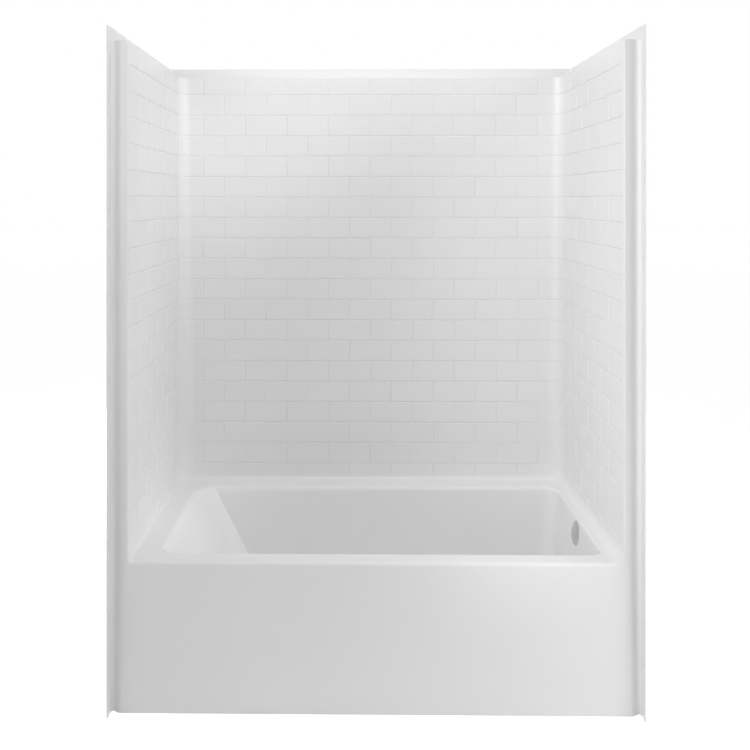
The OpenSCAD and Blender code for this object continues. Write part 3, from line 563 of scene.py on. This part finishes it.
# Front columns with their nailing flanges
for side, ends in ((-1, left_stations), (1, right_stations)):
    levels = [LEDGE_Z] + [s[-1] for s in ends[1:len(ends) - COVE_STEPS // 2]] + APRON_Z[1:]
    rows_front = []
    rows_back = []
    for z in levels:
        face, behind = column_section(z)
        back_z = LEDGE_Z - SKIN if z == LEDGE_Z else z
        face = np.concatenate([[[FLANGE, 0.0]], face])
        behind = np.concatenate([[[0.0, 0.0]], behind])
        for rows, section, height in ((rows_front, face, z), (rows_back, behind, back_z)):
            rows.append(np.column_stack([side * (HALF_W - section[:, 0]), FRONT_Y + section[:, 1],
                                         np.full(len(section), height)]))
    laminate.patch(np.stack(rows_front), np.stack(rows_back))

# Deck and bathing well, as rings from the cove down to the drain
deck_front = np.column_stack([deck_x[1:-1][::-1], np.full(len(deck_x) - 2, LAND_Y + NOSE_R),
                              np.full(len(deck_x) - 2, RIM_Z)])
outer = np.concatenate([room_front[0], deck_front])
length = np.concatenate([[0], np.cumsum(np.linalg.norm(np.diff(outer[:, :2], axis=0), axis=1))])
loop_length = length[-1] + np.linalg.norm(outer[0, :2] - outer[-1, :2])

# Each spoke of the rings runs from a point of the outer loop to a place round the well, from 0 to
# 8, whose whole part is its leg in the order given above. The knots are where the legs meet
knots = [
    0,
    WELL_FRONT + WELL_R[0] - outer[0, 1],
    length[arc_a],
    length[back_a - 1],
    length[arc_b],
    length[right_a - 1],
    length[n_wall - 1] - (WELL_FRONT + WELL_R[1] - outer[0, 1]),
    length[n_wall - 1],
    length[n_wall - 1] + outer[n_wall - 1, 0] - (WELL_RIGHT - WELL_R[1]),
    loop_length - (WELL_LEFT + WELL_R[0] - outer[0, 0]),
    loop_length,
]
around = np.interp(length, knots, [-0.5, 0, 1, 2, 3, 4, 5, 5.5, 6, 7, 7.5])


def well_corner(left, rear):
    """Centre and radius of one corner of the well at the rim, then at the floor with its height."""
    spread = CORNER_SPREAD if left and not rear else 0.0
    side = 0 if left else 1
    radius = WELL_R[side]
    if left:
        radius = BACKREST_R if rear else FRONT_LEFT_R
    out = np.array([-1.0 if left else 1.0, 1.0 if rear else -1.0])
    top = np.array([WELL_LEFT if left else WELL_RIGHT, WELL_BACK if rear else WELL_FRONT])
    low_z = FLOOR_Z + (FLOOR_FALL if left else 0) + FLOOR_R[side]
    drop = RIM_Z - low_z
    drafts = np.array([LEANS[side], SIDE_DRAFT])
    low = top - out * (drafts * drop + FLOOR_R[side] * np.sqrt(1 + drafts ** 2) + spread)
    return np.array([*(top - out * radius), radius, *low, low_z, FLOOR_R[side], spread])


corners = [well_corner(True, False), well_corner(True, True), well_corner(False, True),
           well_corner(False, False)]
floor_left, floor_right = corners[1][3], corners[2][3]

# Where each spoke faces, and how it bulges out from its corner's centre
around = around % 8
leg = np.floor(around).astype(int)
share = around - leg
turned = np.floor((leg + 1) / 2) + np.where(leg % 2 == 1, share - 1, 0)
angle = math.pi - turned * math.pi / 2
angle = np.where(leg == 7, math.pi - (4 + share - 1) * math.pi / 2, angle)
turn = CREASE_TURN * share
angle = np.where(leg == 1, math.pi - turn, angle)
out = np.stack([np.cos(angle), np.sin(angle)], 1)
bulge = out.copy()
stretch = math.sin(CREASE_TURN) / (1 - math.cos(CREASE_TURN))
creased = np.stack([-1 + (1 - np.cos(turn)) / (1 - math.cos(CREASE_TURN)),
                    1 - stretch * (1 - np.sin(turn) / math.sin(CREASE_TURN))], 1)
bulge[leg == 1] = creased[leg == 1]
bulge[leg == 0, 1] = (1 - stretch) * share[leg == 0]
crease_column = int(np.where((leg == 2) & (share == 0))[0][0])
half = (math.pi - CREASE_TURN + math.pi / 2) / 2
out[crease_column] = (math.cos(half), math.sin(half))
# For each spoke what well_corner gives, between two corners a blend of theirs
data = np.zeros((len(around), 8))
for i in range(len(around)):
    if leg[i] % 2 == 0:
        a, b = corners[leg[i] // 2], corners[(leg[i] // 2 + 1) % 4]
        data[i] = a + (b - a) * share[i]
    else:
        data[i] = corners[((leg[i] + 1) // 2) % 4]

ease_over = np.interp(around, EASE_AT, EASE_OVER)
ease_down = np.interp(around, EASE_AT, EASE_DOWN)


def well_rings(grow, seat_end, seat_rings):
    """Rings of the well, from the deck to the drain hole; grow gives the back of the laminate."""
    top = data[:, :2] + bulge * data[:, 2:3] + out * grow
    low, low_z = data[:, 3:5] + bulge * data[:, 7:8], data[:, 5]
    r_low = data[:, 6] + grow
    low_bulge = bulge * data[:, 6:7] + out * grow
    reach = ((top - low - low_bulge) * out).sum(1) + r_low
    rise = RIM_Z - low_z
    far = np.hypot(reach, rise)
    touch = np.arctan2(rise, reach) - np.arccos(r_low / far)
    rim = np.column_stack([top, np.full(len(top), RIM_Z)])
    foot = np.column_stack([low + low_bulge * np.cos(touch)[:, None],
                            low_z + r_low * np.sin(touch)])
    height = RIM_Z - foot[:, 2]
    corner = rim + (foot - rim) * (grow / height)[:, None]
    over = corner.copy()
    tighter = EASE_TIGHTER * grow
    over[:, :2] += out * np.maximum(ease_over - tighter, EASE_LEAST)[:, None]
    down = np.maximum(ease_down - tighter, EASE_LEAST) / height
    under = corner + (foot - rim) * down[:, None]
    rings = []
    for i in range(EASE_STEPS + 1):
        t = i / EASE_STEPS
        rings.append((1 - t) ** 2 * over + 2 * t * (1 - t) * corner + t * t * under)
    edge = outer.copy()
    edge[:, 2] = RIM_Z - grow
    deck = [edge + (rings[0] - edge) * (i / DECK_STEPS) for i in range(DECK_STEPS)]
    start = rings[-1]
    walls = [start + (foot - start) * f for f in WALL_SHARES]
    fillet = []
    for i in range(1, FILLET_STEPS + 1):
        a = touch + (-math.pi / 2 - touch) * i / FILLET_STEPS
        fillet.append(np.column_stack([low + low_bulge * np.cos(a)[:, None],
                                       low_z + r_low * np.sin(a)]))
    edge = fillet[-1]
    to_edge = edge[:, :2] - DRAIN
    to_edge /= np.linalg.norm(to_edge, axis=1)[:, None]
    fall = FLOOR_FALL / (floor_right - floor_left)
    plan = DRAIN + to_edge * seat_end
    end = np.column_stack([plan, FLOOR_Z + (floor_right - plan[:, 0]) * fall - grow])
    floor = [edge + (end - edge) * i / FLOOR_STEPS for i in range(1, FLOOR_STEPS + 1)]
    seat = [np.column_stack([DRAIN + to_edge * radius, np.full(len(edge), z)])
            for radius, z in seat_rings]
    return np.stack(deck + rings + walls + fillet + floor + seat)


well_front = well_rings(0, SEAT_END, SEAT_RINGS)
well_back = well_rings(SKIN, SEAT_END_BACK, SEAT_RINGS_BACK)

# Opening for the overflow in the drain end, between four grid lines of the well
ring_a = DECK_STEPS + EASE_STEPS
ring_b = ring_a + OVERFLOW_HIGH
end_wall = np.where(leg == 4)[0]
end_y = well_front[ring_a, end_wall, 1]
column_a = end_wall[np.where(end_y >= MID_Y + OVERFLOW_CLEAR)[0][-1]]
column_b = end_wall[np.where(end_y <= MID_Y - OVERFLOW_CLEAR)[0][0]]
# The crease starts half way round the rim and runs out in the fillet
crease_rings = np.arange(DECK_STEPS + EASE_STEPS // 2,
                         ring_a + len(WALL_SHARES) + FILLET_STEPS // 2)
laminate.patch(well_front, well_back, closed=True, leave=(ring_a, ring_b, column_a, column_b),
               crease=(crease_rings, crease_column))
border = [(ring_a, c) for c in range(column_a, column_b)]
border += [(r, column_b) for r in range(ring_a, ring_b)]
border += [(ring_b, c) for c in range(column_b, column_a, -1)]
border += [(r, column_a) for r in range(ring_b, ring_a, -1)]
ring_index = tuple(np.array(border).T)
border_front = well_front[ring_index]
border_back = well_back[ring_index]
into_well = np.array([-math.cos(OVERFLOW_TILT), 0, math.sin(OVERFLOW_TILT)])
up_wall = np.array([math.sin(OVERFLOW_TILT), 0, math.cos(OVERFLOW_TILT)])
bearing = np.arctan2((border_front - OVERFLOW) @ up_wall, border_front[:, 1] - MID_Y)


def overflow_seat(border, rings):
    """From the opening's border in to the rings round the overflow's hole."""
    side = np.array([0, 1, 0])
    spokes = np.cos(bearing)[:, None] * side + np.sin(bearing)[:, None] * up_wall
    return np.stack([border] + [OVERFLOW + into_well * proud + radius * spokes
                                for radius, proud in rings])


laminate.patch(overflow_seat(border_front, OVERFLOW_RINGS),
               overflow_seat(border_back, OVERFLOW_RINGS_BACK), closed=True)


# Materials
def linear(code):
    """An sRGB hex colour as the linear colour that the nodes take."""
    parts = [int(code[i:i + 2], 16) / 255 for i in (1, 3, 5)]
    return [p / 12.92 if p <= 0.04045 else ((p + 0.055) / 1.055) ** 2.4 for p in parts] + [1]


# All mixes here are of colours. A mix gives its colour, a wave its factor, and any other node its
# first output
USUAL = {"Mix": {"data_type": "RGBA"}}
MAIN_OUTPUT = {"ShaderNodeMix": 2, "ShaderNodeTexWave": 1}


def add(tree, kind, inputs=(), **settings):
    """A node with its settings; inputs are values, or the nodes or sockets that feed them."""
    made = tree.nodes.new("ShaderNode" + kind)
    for name, value in {**USUAL.get(kind, {}), **settings}.items():
        setattr(made, name, value)
    for name, value in dict(inputs).items():
        if isinstance(value, bpy.types.Node):
            value = value.outputs[MAIN_OUTPUT.get(value.bl_idname, 0)]
        if isinstance(value, bpy.types.NodeSocket):
            tree.links.new(value, made.inputs[name])
        else:
            made.inputs[name].default_value = value
    return made


def every(size):
    """Scale of a pattern that repeats after this many millimetres."""
    return 1 / (size * MM)


def new_material(name):
    """An empty material, its tree, and the place on the object that its patterns go by."""
    made = bpy.data.materials.new(name)
    made.use_nodes = True
    made.node_tree.nodes.clear()
    place = add(made.node_tree, "TexCoord")
    return made, made.node_tree, place.outputs["Object"]


def finish_material(made, colour, rough, height, strength, depth, even):
    """The surface over these nodes. The relief's depth is in mm, and even is the same all over."""
    tree = made.node_tree
    bump = add(tree, "Bump", {"Height": height, "Strength": strength, "Distance": depth * MM})
    surface = add(tree, "BsdfPrincipled", {"Base Color": colour, "Roughness": rough,
                                           "Normal": bump, **even})
    add(tree, "OutputMaterial", {"Surface": surface})
    return made


# White gelcoat: polyester sprayed on a polished mould, so the eye sees a deep even gloss with a
# faint slow ripple, and a roughness that wanders a little
def gelcoat():
    made, tree, place = new_material("white_gelcoat")
    ripple = add(tree, "TexNoise", {"Vector": place, "Scale": every(35), "Detail": 2})
    tone = add(tree, "TexNoise", {"Vector": place, "Scale": every(400), "Detail": 1})
    colour = add(tree, "Mix", {0: tone, 6: linear("#EFEFEF"), 7: linear("#F2F2F2")})
    rough = add(tree, "MapRange", {"Value": ripple, "To Min": 0.22, "To Max": 0.27})
    return finish_material(made, colour, rough, ripple, 0.25, 0.05, {"IOR": 1.5})


# Glass-fibre laminate: chopped strands in polyester resin, rolled by hand, so the back looks
# straw-grey, knobbly and half glossy, with strands some 30 mm long showing through
def laminate_back():
    made, tree, place = new_material("glass_fibre_laminate")
    warp = add(tree, "TexNoise", {"Vector": place, "Scale": every(30), "Detail": 3})
    moved = add(tree, "VectorMath", {0: warp.outputs["Color"], 1: (20 * MM,) * 3, 2: place},
                operation="MULTIPLY_ADD")
    strand = add(tree, "TexVoronoi", {"Vector": moved, "Scale": every(12)},
                 feature="DISTANCE_TO_EDGE")
    line = add(tree, "MapRange", {"Value": strand, "From Max": 0.12})
    tone = add(tree, "TexNoise", {"Vector": place, "Scale": every(250), "Detail": 2})
    fibre = add(tree, "Mix", {0: line, 6: linear("#E4E0CE"), 7: linear("#CFC9B2")})
    colour = add(tree, "Mix", {0: tone, 6: fibre, 7: linear("#C3BA9C")})
    height = add(tree, "Math", {0: warp, 1: line}, operation="SUBTRACT")
    rough = add(tree, "MapRange", {"Value": warp, "To Min": 0.35, "To Max": 0.6})
    return finish_material(made, colour, rough, height, 0.6, 0.8, {"IOR": 1.55})


# A wave texture of scale 1 repeats after this many metres, and the others after 1 metre
WAVE = math.pi / 10


# Sawn spruce: growth rings 3.5 mm apart run along the grain and show as arcs on the ends, which
# drink more light. The saw leaves marks across the grain, and the eye sees a dry pale board
def sawn_spruce(node, grain, pith):
    made, tree, place = new_material("sawn_spruce_" + node)
    normal = add(tree, "TexCoord").outputs["Normal"]
    stretch = [every(30)] * 3
    stretch[grain] = every(400)
    from_pith = add(tree, "VectorMath", {0: place, 1: pith}, operation="SUBTRACT")
    along = add(tree, "VectorMath", {0: from_pith, 1: stretch}, operation="MULTIPLY")
    sway = add(tree, "TexNoise", {"Vector": along, "Scale": 1, "Detail": 2})
    swayed = add(tree, "VectorMath", {0: sway.outputs["Color"], 1: (8 * MM,) * 3, 2: from_pith},
                 operation="MULTIPLY_ADD")
    rings = add(tree, "TexWave", {"Vector": swayed, "Scale": WAVE * every(3.5)}, wave_type="RINGS",
                rings_direction="XYZ"[grain], wave_profile="SAW")
    late = add(tree, "MapRange", {"Value": rings, "From Min": 0.45, "To Max": 0.8},
               interpolation_type="SMOOTHSTEP")
    fibre = add(tree, "TexNoise", {"Vector": along, "Scale": 30 / 1.5, "Detail": 3})
    board = add(tree, "Mix", {0: late, 6: linear("#DDC196"), 7: linear("#BE9560")})
    streak = add(tree, "MapRange", {"Value": fibre, "From Min": 0.4, "From Max": 0.75,
                                    "To Max": 0.35})
    streaked = add(tree, "Mix", {0: streak, 6: board, 7: linear("#C9A571")})
    knot = add(tree, "TexVoronoi", {"Vector": from_pith, "Scale": every(110)})
    in_knot = add(tree, "MapRange", {"Value": knot, "From Min": 0.1, "From Max": 0.06})
    knotted = add(tree, "Mix", {0: in_knot, 6: streaked, 7: linear("#7C5530")})
    split = add(tree, "SeparateXYZ", {"Vector": normal})
    faces = add(tree, "Math", {0: split.outputs[grain]}, operation="ABSOLUTE")
    on_end = add(tree, "MapRange", {"Value": faces, "From Min": 0.7, "From Max": 0.9,
                                    "To Max": 0.45})
    colour = add(tree, "Mix", {0: on_end, 6: knotted, 7: linear("#9A7444")})
    saw = add(tree, "TexWave", {"Vector": place, "Scale": WAVE * every(4), "Distortion": 2},
              wave_type="BANDS", bands_direction="XYZ"[grain])
    height = add(tree, "Math", {0: saw, 1: fibre}, operation="ADD")
    rough = add(tree, "MapRange", {"Value": late, "To Min": 0.82, "To Max": 0.68})
    return finish_material(made, colour, rough, height, 0.5, 0.3, {"IOR": 1.5})


# Plywood: peeled pine veneer, whose figure runs in broad flames along the grain, and glued plies
# 1.8 mm thick that show as pale and dark stripes on the edges
def plywood(name, thin, grain):
    made, tree, place = new_material(name)
    normal = add(tree, "TexCoord").outputs["Normal"]
    across = 3 - thin - grain
    stretch = [every(120)] * 3
    stretch[grain] = every(900)
    along = add(tree, "VectorMath", {0: place, 1: stretch}, operation="MULTIPLY")
    sway = add(tree, "TexNoise", {"Vector": along, "Scale": 1, "Detail": 2})
    swayed = add(tree, "VectorMath", {0: sway.outputs["Color"], 1: (160 * MM,) * 3, 2: place},
                 operation="MULTIPLY_ADD")
    flame = add(tree, "TexWave", {"Vector": swayed, "Scale": WAVE * every(16)}, wave_type="BANDS",
                bands_direction="XYZ"[across], wave_profile="SAW")
    late = add(tree, "MapRange", {"Value": flame, "From Min": 0.5, "To Max": 0.7},
               interpolation_type="SMOOTHSTEP")
    fibre = add(tree, "TexNoise", {"Vector": along, "Scale": 120 / 3, "Detail": 3})
    veneer = add(tree, "Mix", {0: late, 6: linear("#DDBE8F"), 7: linear("#BF9058")})
    streak = add(tree, "MapRange", {"Value": fibre, "From Min": 0.4, "From Max": 0.75,
                                    "To Max": 0.4})
    face = add(tree, "Mix", {0: streak, 6: veneer, 7: linear("#CBA36B")})
    plies = add(tree, "TexWave", {"Vector": place, "Scale": WAVE * every(3.6)}, wave_type="BANDS",
                bands_direction="XYZ"[thin])
    dark_ply = add(tree, "MapRange", {"Value": plies, "From Min": 0.4, "From Max": 0.6})
    edge = add(tree, "Mix", {0: dark_ply, 6: linear("#D9BA8A"), 7: linear("#94693A")})
    split = add(tree, "SeparateXYZ", {"Vector": normal})
    faces = add(tree, "Math", {0: split.outputs[thin]}, operation="ABSOLUTE")
    on_edge = add(tree, "MapRange", {"Value": faces, "From Min": 0.6, "From Max": 0.4})
    colour = add(tree, "Mix", {0: on_edge, 6: face, 7: edge})
    rough = add(tree, "MapRange", {"Value": late, "To Min": 0.75, "To Max": 0.62})
    return finish_material(made, colour, rough, fibre, 0.4, 0.3, {"IOR": 1.5})


# Rigid polyurethane foam, poured in place: cream, dry and pitted, with painted shade darkening the
# pits.
# Its cells are under 1 mm, and are drawn 2.5 mm wide so that they show
def poured_foam():
    made, tree, place = new_material("rigid_polyurethane_foam")
    cell = add(tree, "TexVoronoi", {"Vector": place, "Scale": every(2.5)})
    swell = add(tree, "TexNoise", {"Vector": place, "Scale": every(40), "Detail": 3})
    pit_and_painted_shade = add(tree, "MapRange", {"Value": cell, "From Max": 0.5})
    tone = add(tree, "Mix", {0: swell, 6: linear("#E9DBAE"), 7: linear("#DCC58C")})
    # The darker cream in the pits is painted shade in the recesses, not a colour of the foam
    colour = add(tree, "Mix", {0: pit_and_painted_shade, 6: linear("#C7AF78"), 7: tone})
    height = add(tree, "Math", {0: swell, 1: 6, 2: pit_and_painted_shade}, operation="MULTIPLY_ADD")
    rough = add(tree, "MapRange", {"Value": pit_and_painted_shade, "To Min": 0.95, "To Max": 0.8})
    return finish_material(made, colour, rough, height, 0.8, 0.6, {"IOR": 1.48})


# Chrome plate on a polished pressing: a cool dark mirror, with faint dried water marks that
# spread the reflection a little
def chrome_plate():
    made, tree, place = new_material("polished_chrome_plate")
    marks = add(tree, "TexNoise", {"Vector": place, "Scale": every(12), "Detail": 4})
    colour = add(tree, "Mix", {0: marks, 6: linear("#D0D2D4"), 7: linear("#D8D9DA")})
    rough = add(tree, "MapRange", {"Value": marks, "From Min": 0.4, "From Max": 0.75,
                                   "To Min": 0.05, "To Max": 0.12})
    return finish_material(made, colour, rough, marks, 0.1, 0.02, {"Metallic": 1})


# Turned brass: warm yellow with fine tool rings, drawn 0.5 mm apart, and a dull bloom where it
# has been handled
def turned_brass():
    made, tree, place = new_material("turned_brass")
    bloom = add(tree, "TexNoise", {"Vector": place, "Scale": every(6), "Detail": 3})
    colour = add(tree, "Mix", {0: bloom, 6: linear("#E5CC8B"), 7: linear("#C6A25C")})
    rings = add(tree, "TexWave", {"Vector": place, "Scale": WAVE * every(0.5)}, wave_type="BANDS",
                bands_direction="Z")
    rough = add(tree, "MapRange", {"Value": bloom, "To Min": 0.18, "To Max": 0.38})
    return finish_material(made, colour, rough, rings, 0.4, 0.03, {"Metallic": 1})


# Stainless steel: pressed sheet and drawn wire, grey, with a fine brushed grain that runs level
# and blurs the reflection along it
def stainless_steel():
    made, tree, place = new_material("brushed_stainless_steel")
    along = add(tree, "VectorMath", {0: place, 1: (every(0.8), every(20), every(0.8))},
                operation="MULTIPLY")
    grain = add(tree, "TexNoise", {"Vector": along, "Scale": 1, "Detail": 2})
    colour = add(tree, "Mix", {0: grain, 6: linear("#B9BBBD"), 7: linear("#CACBCC")})
    rough = add(tree, "MapRange", {"Value": grain, "To Min": 0.24, "To Max": 0.42})
    return finish_material(made, colour, rough, grain, 0.3, 0.02, {"Metallic": 1})


# Moulded plastics and rubber: one tone that drifts a little, a slow flow ripple and a fine skin,
# whose grain is given in millimetres
def moulded(name, light, dark, rough_low, rough_high, ior, skin):
    made, tree, place = new_material(name)
    flow = add(tree, "TexNoise", {"Vector": place, "Scale": every(20), "Detail": 2})
    fine = add(tree, "TexNoise", {"Vector": place, "Scale": every(skin), "Detail": 2})
    colour = add(tree, "Mix", {0: flow, 6: linear(light), 7: linear(dark)})
    rough = add(tree, "MapRange", {"Value": fine, "From Min": 0.3, "From Max": 0.7,
                                   "To Min": rough_low, "To Max": rough_high})
    height = add(tree, "Math", {0: flow, 1: 3, 2: fine}, operation="MULTIPLY_ADD")
    return finish_material(made, colour, rough, height, 0.3, 0.06, {"IOR": ior})


finishes = {
    "foam": poured_foam(),
    "chrome": chrome_plate(),
    "brass": turned_brass(),
    "steel": stainless_steel(),
    # Black nitrile: nearly no gloss, a fine skin and a grey bloom
    "rubber": moulded("black_nitrile_rubber", "#1B1B1C", "#2B2B2C", 0.5, 0.72, 1.52, 0.8),
    # Moulded and drawn PVC: a warm white with a smooth half gloss
    "pipe": moulded("white_pvc", "#EDECE6", "#E2E0D6", 0.26, 0.36, 1.53, 2),
    # Polypropylene: whiter and waxier, from a mould with a spark-etched grain
    "nut": moulded("white_polypropylene", "#F0EFEB", "#E6E5E0", 0.38, 0.5, 1.49, 0.6),
    # Polyethylene: soft blue-grey and dull
    "washer": moulded("grey_polyethylene", "#8F9EA6", "#7F8E97", 0.45, 0.6, 1.51, 1),
}

# How wide the worn edges of the boards are
EASED = {"timber": 1.5 * MM, "plywood": 0.6 * MM}
# Each timber is sawn at its own distance from the pith and from its own length of the trunk
PITH_NEAR = 0.05
PITH_STEP = 0.011
PITH_ASIDE = 0.02
TRUNK_STEP = 0.37
slots = {part["node"]: part["material_slot"] for part in frame["record"]["subparts"]}
for count, (node, slot) in enumerate(sorted(slots.items())):
    low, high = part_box(node)
    size = high - low
    part = frame["nodes"][node]
    if slot == "timber":
        grain = max(range(3), key=lambda i: size[i])
        pith = (low + high) / 2
        pith[(grain + 1) % 3] += PITH_NEAR + PITH_STEP * (count % 4)
        pith[(grain + 2) % 3] -= PITH_ASIDE * (count % 3)
        pith[grain] += TRUNK_STEP * count
        finish = sawn_spruce(node, grain, pith)
    elif slot == "plywood":
        thin = min(range(3), key=lambda i: size[i])
        finish = plywood("pine_plywood_" + node, thin, 0 if thin != 0 else 2)
    elif slot in finishes:
        finish = finishes[slot]
    else:
        continue
    part.material_slots[0].material = finish
    if slot in EASED:
        joined = part.modifiers.new("join_corners", "WELD")
        joined.merge_threshold = 0.01 * MM
        eased = part.modifiers.new("eased_edges", "BEVEL")
        eased.width = EASED[slot]
        eased.segments = 2

shell = placed("moulded_shell", laminate.mesh("moulded_shell"))
shell.data.materials.append(gelcoat())
shell.data.materials.append(laminate_back())
weighted = shell.modifiers.new("even_shading", "WEIGHTED_NORMAL")
weighted.keep_sharp = True
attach(shell, "root")
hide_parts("shell")


def wound_wire(name):
    """A round wire on a helix over the drain, closed at both ends."""
    steps = COIL_TURNS * TURN_STEPS
    turn = np.linspace(0, COIL_TURNS * 2 * math.pi, steps + 1)[:, None]
    bend = np.linspace(0, 2 * math.pi, WIRE_SIDES, endpoint=False)
    reach = COIL_R + WIRE_R * np.cos(bend)
    height = np.linspace(COIL_Z[0], COIL_Z[1], steps + 1)[:, None] + WIRE_R * np.sin(bend)
    points = np.stack([DRAIN[0] + reach * np.cos(turn), DRAIN[1] + reach * np.sin(turn),
                       height], -1)
    around_wire = range(WIRE_SIDES)
    faces = [list(around_wire), [steps * WIRE_SIDES + j for j in reversed(around_wire)]]
    for i in range(steps):
        for j in around_wire:
            a = i * WIRE_SIDES + j
            b = i * WIRE_SIDES + (j + 1) % WIRE_SIDES
            faces.append([a, a + WIRE_SIDES, b + WIRE_SIDES, b])
    made = bpy.data.meshes.new(name)
    made.from_pydata((points.reshape(-1, 3) * MM).tolist(), [], faces)
    made.shade_smooth()
    return made


spring = placed("stopper_spring", wound_wire("stopper_spring"))
spring.data.materials.append(finishes["steel"])
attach(spring, "root")
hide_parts("toe_spring")
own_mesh(spring)

# Camera, solved from the photograph
camera = placed("camera", bpy.data.cameras.new("camera"))
camera.location = (-0.0611, -2.902, 1.4677)
camera.rotation_euler = (math.radians(90), 0, math.radians(0.692))
camera.data.lens = 42.09
camera.data.sensor_width = 36
camera.data.shift_x = 0.0424
camera.data.shift_y = -0.2323
bpy.context.scene.camera = camera


def seen_directly(tree, rays):
    """A node that gives 1 to the camera and to reflections, and 0 to other light."""
    return add(tree, "Math", {0: rays.outputs["Is Camera Ray"], 1: rays.outputs["Is Glossy Ray"]},
               operation="ADD")


# Floor and world: pale in the light, and shown near white to the camera and in reflections. The
# floor is in metres
FLOOR_HALF = 40
FLOOR_GLOW = 0.75
WORLD_LIGHT = 0.12
floor_mesh = bpy.data.meshes.new("floor")
floor_mesh.from_pydata([(x * FLOOR_HALF, y * FLOOR_HALF, 0)
                        for x, y in ((-1, -1), (1, -1), (1, 1), (-1, 1))], [], [(0, 1, 2, 3)])
floor = placed("floor", floor_mesh)
floor_material, tree = new_material("pale_floor")[:2]
seen = seen_directly(tree, add(tree, "LightPath"))
glow = add(tree, "Math", {0: seen, 1: FLOOR_GLOW}, operation="MULTIPLY")
painted = add(tree, "BsdfPrincipled", {"Base Color": linear("#F2F2F2"), "Roughness": 0.9,
                                       "Emission Color": linear("#FFFFFF"),
                                       "Emission Strength": glow})
add(tree, "OutputMaterial", {"Surface": painted})
floor.data.materials.append(floor_material)

world = bpy.data.worlds.new("studio")
bpy.context.scene.world = world
world.use_nodes = True
tree = world.node_tree
tree.nodes.clear()
rays = add(tree, "LightPath")
seen = seen_directly(tree, rays)
seen = add(tree, "Math", {0: seen, 1: rays.outputs["Is Transmission Ray"]}, operation="ADD",
           use_clamp=True)
plain = add(tree, "Background", {"Color": linear("#FFFFFF"), "Strength": WORLD_LIGHT})
white = add(tree, "Background", {"Color": linear("#FFFFFF"), "Strength": 1.0})
mixed = add(tree, "MixShader", {0: seen, 1: plain, 2: white})
add(tree, "OutputWorld", {"Surface": mixed})


def soft_box(name, place, aim, width, height, watts, spread=180):
    """A flat lamp at one place that shines at another; spread is how wide, in degrees."""
    lamp = bpy.data.lights.new(name, "AREA")
    lamp.shape = "RECTANGLE"
    lamp.size = width
    lamp.size_y = height
    lamp.energy = watts
    lamp.spread = math.radians(spread)
    made = placed(name, lamp)
    made.location = place
    direction = np.array(aim) - np.array(place)
    made.rotation_euler = Vector(direction).to_track_quat("-Z", "Y").to_euler()
    made.visible_camera = False
    made.visible_glossy = False


FAR_ANGLE = math.radians(40)


def far_light(name, azimuth, elevation, strength):
    """A wide, distant light; azimuth 0 is the open front, and 90 the drain end."""
    lamp = bpy.data.lights.new(name, "SUN")
    lamp.energy = strength
    lamp.angle = FAR_ANGLE
    made = placed(name, lamp)
    made.rotation_euler = (math.radians(90 - elevation), 0, math.radians(azimuth))


# The strengths were found by rendering each light alone and matching the photograph's greys
soft_box("over_the_well", (0.1, 0.1, 2.9), (0.1, 0.1, 0.0), 1.0, 0.5, 6.06)
soft_box("into_the_well", (0.1, -0.1, 2.9), (0.1, -0.1, 0.0), 1.0, 0.4, 0.92, spread=60)
soft_box("high_front", (0.0, -2.2, 2.8), (0.0, 0.3, 1.4), 1.2, 0.6, 17.87)
soft_box("low_right", (1.3, -0.9, 0.2), (0.6, -0.4, 0.4), 0.4, 0.4, 1.12)
soft_box("right_side_strip", (1.3, -0.62, 1.2), (-0.76, -0.4, 1.2), 0.25, 2.0, 4.7)
soft_box("left_strip", (-1.5, -1.5, 1.6), (-0.6, -0.3, 1.6), 0.3, 1.0, 2.6)
soft_box("back_wall_right", (0.45, -0.6, 1.2), (0.5, 0.36, 1.1), 0.25, 1.5, 1.04)
soft_box("back_wall_left", (-0.3, -0.7, 1.7), (-0.5, 0.36, 1.75), 0.4, 0.4, 0.24, spread=60)
soft_box("back_wall_top", (0.0, -0.6, 1.8), (0.0, 0.36, 1.9), 1.0, 0.2, 0.06, spread=70)
soft_box("backrest", (0.3, -0.03, 0.66), (-0.56, 0.0, 0.38), 0.2, 0.2, 0.095, spread=50)
far_light("front_left", -60, 10, 0.88)
far_light("front_right", 60, 10, 0.523)
# Behind and beside the unit, too low to shine over its walls
soft_box("rear_left", (-2.6, 2.6, 0.95), (-0.3, 0.2, 0.9), 1.8, 1.5, 45)
soft_box("rear_right", (2.6, 2.6, 0.95), (0.3, 0.2, 0.9), 1.8, 1.5, 45)
bpy.context.scene.view_settings.view_transform = "Standard"
